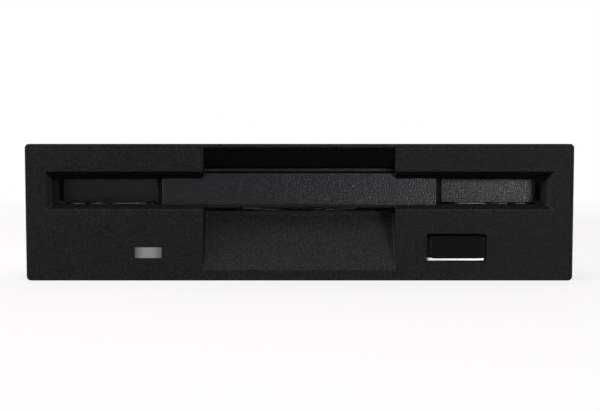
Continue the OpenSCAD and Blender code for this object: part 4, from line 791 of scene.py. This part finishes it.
def boardChips():
    bodies, legs, boxes = [], [], []
    for middle, half, own in islandsOf("board_chips"):
        wide = half[0] - boardParts["legReach"]
        low, top = middle[2] - half[2], middle[2] + half[2]
        tall = boardParts["chipTall"] / 2
        body = (middle[0], middle[1], low + tall)
        bodies.append(roundedBlock(body, (wide, half[1], tall), boardParts["chipEdge"]))
        count = int(2 * half[1] / boardParts["legPitch"]) - 1
        for k in range(count):
            y = middle[1] + (k - (count - 1) / 2) * boardParts["legPitch"]
            for side in (-1, 1):
                legs.append(bentLeg(middle[0] + side * wide, y, side, top, low + tall))
        boxes.append((middle, half))
    chips = newPiece("chipBodies", bodies, "chip_resin")
    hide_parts("board_chips")
    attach(chips, "root")
    feet = newPiece("chipLegs", legs, "zinc_steel")
    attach(feet, "root")
    return boxes


def freePlaces(middle, half, blocked):
    # An even grid under the board that keeps clear of what is blocked, and leaves out a third of the rest
    step = boardParts["step"]
    columns, rows = int(half[0] / step), int(half[1] / step)
    for i in range(1 - columns, columns):
        for j in range(1 - rows, rows):
            place = middle[:2] + step * np.array([i, j])
            near = any((np.abs(place - m[:2]) < h[:2] + margin).all() for m, h, margin in blocked)
            if not near and (i * 7 + j * 5) % 9 >= 3:
                yield i, j, place


def smallParts(board, blocked, name):
    # Resistors and capacitors, lengthways or across, each with a tinned cap on both ends
    middle, half = middleOf(board)
    face = middle[2] - half[2]
    long, short, tall = boardParts["passive"]
    bodies, caps = [], []
    for i, j, place in freePlaces(middle, half, blocked):
        upright = (i * 3 + j * 2) % 4 < 2
        size = 1.0 if (i + 2 * j) % 3 else boardParts["larger"]
        cap, tin = boardParts["cap"] * size / 2, boardParts["tin"]
        blocks = [(bodies, 0.0, long * size - 2 * cap, 0.0)]
        blocks += [(caps, side * (long * size - cap), cap + tin, tin) for side in (-1, 1)]
        for group, off, reach, coat in blocks:
            across, thick = short * size + coat, tall * size / 2 + coat
            x, y = place + ([0.0, off] if upright else [off, 0.0])
            extent = (across, reach, thick) if upright else (reach, across, thick)
            group.append(roundedBlock((x, y, face - thick), extent, boardParts["partEdge"], 1))
    for suffix, group, slotName in (("Bodies", bodies, "chip_resin"), ("Caps", caps, "zinc_steel")):
        parts = newPiece(name + suffix, group, slotName)
        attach(parts, "root")
    return len(bodies)


def blockedBy(nodes, margin):
    return [(middle, half, margin) for node in nodes for middle, half, own in islandsOf(node)]


blocked = [(middle, half, freeMargin["chips"]) for middle, half in boardChips()]
blocked += blockedBy(["board_screws", "signal_pins", "power_pins", "lamp"], freeMargin["mainBoard"])
counted = smallParts("main_board", blocked, "mainParts")
blocked = [(*middleOf("rotor"), freeMargin["rotor"])]
blocked += blockedBy(["board_screws", "eject_springs", "switch_bodies"], freeMargin["motorBoard"])
counted += smallParts("motor_board", blocked, "motorParts")
print("small parts:", counted)

# Screws with a cross recess, seen from the side that they are driven from. Lengths along a radius are shares
# of the head's, and the depth is a share of its height. Points of the solid beyond rim are on the head's
# edge, and those between the two shares of shank are the shank's.
cross = {
    "armHalf": 0.16, "armReach": 0.62, "wallSlope": 0.05, "endSlope": 0.08, "depth": 0.5, "sides": 48,
    "rim": 0.93, "shank": (0.3, 0.9)}


def crossHead(middle, half, own):
    # A shank and a head with a soft rim. The recess is full within armHalf of the x or y axis and armReach of
    # the middle, and fades out over the slopes.
    radii = np.hypot(own[:, 0] - middle[0], own[:, 1] - middle[1])
    rim = own[radii > cross["rim"] * half[0]]
    headLow, headHigh = rim[:, 2].min(), rim[:, 2].max()
    lookUp = abs(headHigh - (middle[2] + half[2])) < abs(headLow - (middle[2] - half[2]))
    least, most = cross["shank"]
    shank = radii[(radii > least * half[0]) & (radii < most * half[0])]
    shankRadius = shank.max() if len(shank) else 0.6 * half[0]
    base, face = (headLow, headHigh) if lookUp else (headHigh, headLow)
    sign = 1 if lookUp else -1
    far = middle[2] - sign * half[2]
    tall = abs(face - base)
    profile = [(0.8 * shankRadius, far), (shankRadius, far + sign * 0.3 * mm), (shankRadius, base)]
    profile += [(half[0] * r, base + sign * tall * z) for r, z in ((1, 0), (1, 0.6), (0.96, 0.85), (0.86, 1))]
    turn = np.linspace(0, 2 * np.pi, cross["sides"], endpoint=False)
    circle = np.column_stack([np.cos(turn), np.sin(turn)])
    rings = [np.column_stack([middle[:2] + r * circle, np.full(len(turn), z)]) for r, z in profile]
    for share in (0.74, 0.66, 0.58, 0.5, 0.4, 0.3, 0.2, 0.1, 0.03):
        off = np.abs(share * circle).min(1)
        wall = np.clip((cross["armHalf"] - off) / cross["wallSlope"], 0, 1)
        wall *= np.clip((cross["armReach"] - share) / cross["endSlope"], 0, 1)
        z = face - sign * cross["depth"] * tall * wall
        rings.append(np.column_stack([middle[:2] + half[0] * share * circle, z]))
    return closedSurface(rings)


for node in ("board_screws", "rod_screws"):
    solids = [crossHead(*solid) for solid in islandsOf(node)]
    heads = newPiece(node + "Cross", solids, "screw_steel", creaseAngle=28)
    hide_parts(node)
    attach(heads, "root")
print("screws driven")

# Floor and light: a white table under large soft lamps in front, above and behind, with small ones to the
# right and the left. wallFade is where, along y, the white wall gives way to the dim room.
studio = {
    "floorColour": "#f6f4ef", "span": 6.0, "glow": 0.7, "shadowReach": (0.09, 0.4),
    "airColour": "#fff6e6", "airLevel": 0.25, "roomLevel": 0.08, "wallFade": (-0.8, -0.2), "aimZ": 12 * mm,
    "lamps": {
        "keyLamp": {"place": (-0.05, -0.42, 0.52), "size": 0.5, "power": 1.2, "colour": "#fbfdff"},
        "rightLamp": {"place": (0.3, -0.55, 0.06), "size": 0.14, "power": 2.3, "colour": "#f4f6ff"},
        "leftLamp": {"place": (-0.6, -0.2, 0.1), "size": 0.2, "power": 4.2, "colour": "#fffdf0"},
        "topLamp": {"place": (0.0, -0.02, 0.6), "size": 0.5, "power": 1.0, "colour": "#ffffff"},
        "backLamp": {"place": (0.15, 0.6, 0.4), "size": 0.4, "power": 1.0, "colour": "#ffffff"},
    },
}


def seenDirectly(tree, path):
    # 1 for rays that show something, to the camera or through metal and glass, and 0 for rays that light it
    first = addNode(
        tree, "ShaderNodeMath", {"operation": "MAXIMUM"},
        {0: path.outputs["Is Camera Ray"], 1: path.outputs["Is Glossy Ray"]})
    second = addNode(
        tree, "ShaderNodeMath", {"operation": "MAXIMUM"},
        {0: first.outputs[0], 1: path.outputs["Is Transmission Ray"]})
    return second.outputs[0]


def makeFloor(settings):
    span = settings["span"]
    mesh = bpy.data.meshes.new("floor")
    corners = [(-span, -span, 0), (span, -span, 0), (span, span, 0), (-span, span, 0)]
    mesh.from_pydata(corners, [], [(0, 1, 2, 3)])
    floor = bpy.data.objects.new("floor", mesh)
    scene.collection.objects.link(floor)
    material = bpy.data.materials.new("floorPaper")
    material.use_nodes = True
    tree = material.node_tree
    tree.nodes.clear()
    seen = seenDirectly(tree, addNode(tree, "ShaderNodeLightPath"))
    near, far = settings["shadowReach"]
    coords = addNode(tree, "ShaderNodeTexCoord").outputs["Object"]
    away = addNode(tree, "ShaderNodeVectorMath", {"operation": "LENGTH"}, {0: coords})
    level = addNode(
        tree, "ShaderNodeMapRange", {"From Min": near, "From Max": far, "To Min": settings["glow"]},
        {"Value": away.outputs["Value"]})
    share = addNode(
        tree, "ShaderNodeMath", {"operation": "MULTIPLY"}, {0: seen, 1: level.outputs["Result"]})
    paper = addNode(tree, "ShaderNodeBsdfDiffuse", {"Color": linear(settings["floorColour"])})
    glow = addNode(tree, "ShaderNodeEmission", {"Strength": 1.0})
    mixed = addNode(
        tree, "ShaderNodeMixShader", None, {0: share.outputs[0], 1: paper.outputs[0], 2: glow.outputs[0]})
    addNode(tree, "ShaderNodeOutputMaterial", None, {"Surface": mixed.outputs[0]})
    mesh.materials.append(material)


def makeWorld(settings):
    # The air lights the object. What the camera and reflections see is a white wall behind and beside the
    # object; in front of it reflections see the dim room.
    world = bpy.data.worlds.new("studioAir")
    scene.world = world
    world.use_nodes = True
    tree = world.node_tree
    tree.nodes.clear()
    path = addNode(tree, "ShaderNodeLightPath")
    seen = seenDirectly(tree, path)
    air = addNode(
        tree, "ShaderNodeBackground",
        {"Color": linear(settings["airColour"]), "Strength": settings["airLevel"]})
    direction = addNode(tree, "ShaderNodeTexCoord").outputs["Generated"]
    heading = addNode(tree, "ShaderNodeSeparateXYZ", None, {"Vector": direction})
    dimmest, whitest = settings["wallFade"]
    wall = addNode(
        tree, "ShaderNodeMapRange",
        {"interpolation_type": "SMOOTHSTEP", "From Min": dimmest, "From Max": whitest,
         "To Min": settings["roomLevel"]},
        {"Value": heading.outputs["Y"]})
    level = addNode(
        tree, "ShaderNodeMath", {"operation": "MAXIMUM"},
        {0: wall.outputs["Result"], 1: path.outputs["Is Camera Ray"]})
    white = addNode(tree, "ShaderNodeBackground", {"Color": (1, 1, 1, 1)}, {"Strength": level.outputs[0]})
    mixed = addNode(tree, "ShaderNodeMixShader", None, {0: seen, 1: air.outputs[0], 2: white.outputs[0]})
    addNode(tree, "ShaderNodeOutputWorld", None, {"Surface": mixed.outputs[0]})


def makeLamp(name, settings):
    lamp = bpy.data.lights.new(name, "AREA")
    lamp.shape = "SQUARE"
    lamp.size = settings["size"]
    lamp.energy = settings["power"]
    lamp.color = linear(settings["colour"])[:3]
    holder = bpy.data.objects.new(name, lamp)
    scene.collection.objects.link(holder)
    holder.location = settings["place"]
    target = Vector((0, front, settings["aimZ"]))
    holder.rotation_mode = "QUATERNION"
    holder.rotation_quaternion = (target - Vector(settings["place"])).to_track_quat("-Z", "Y")


makeFloor(studio)
makeWorld(studio)
for name, settings in studio["lamps"].items():
    makeLamp(name, {"aimZ": studio["aimZ"], **settings})
scene.view_settings.view_transform = "Standard"
print("studio set")
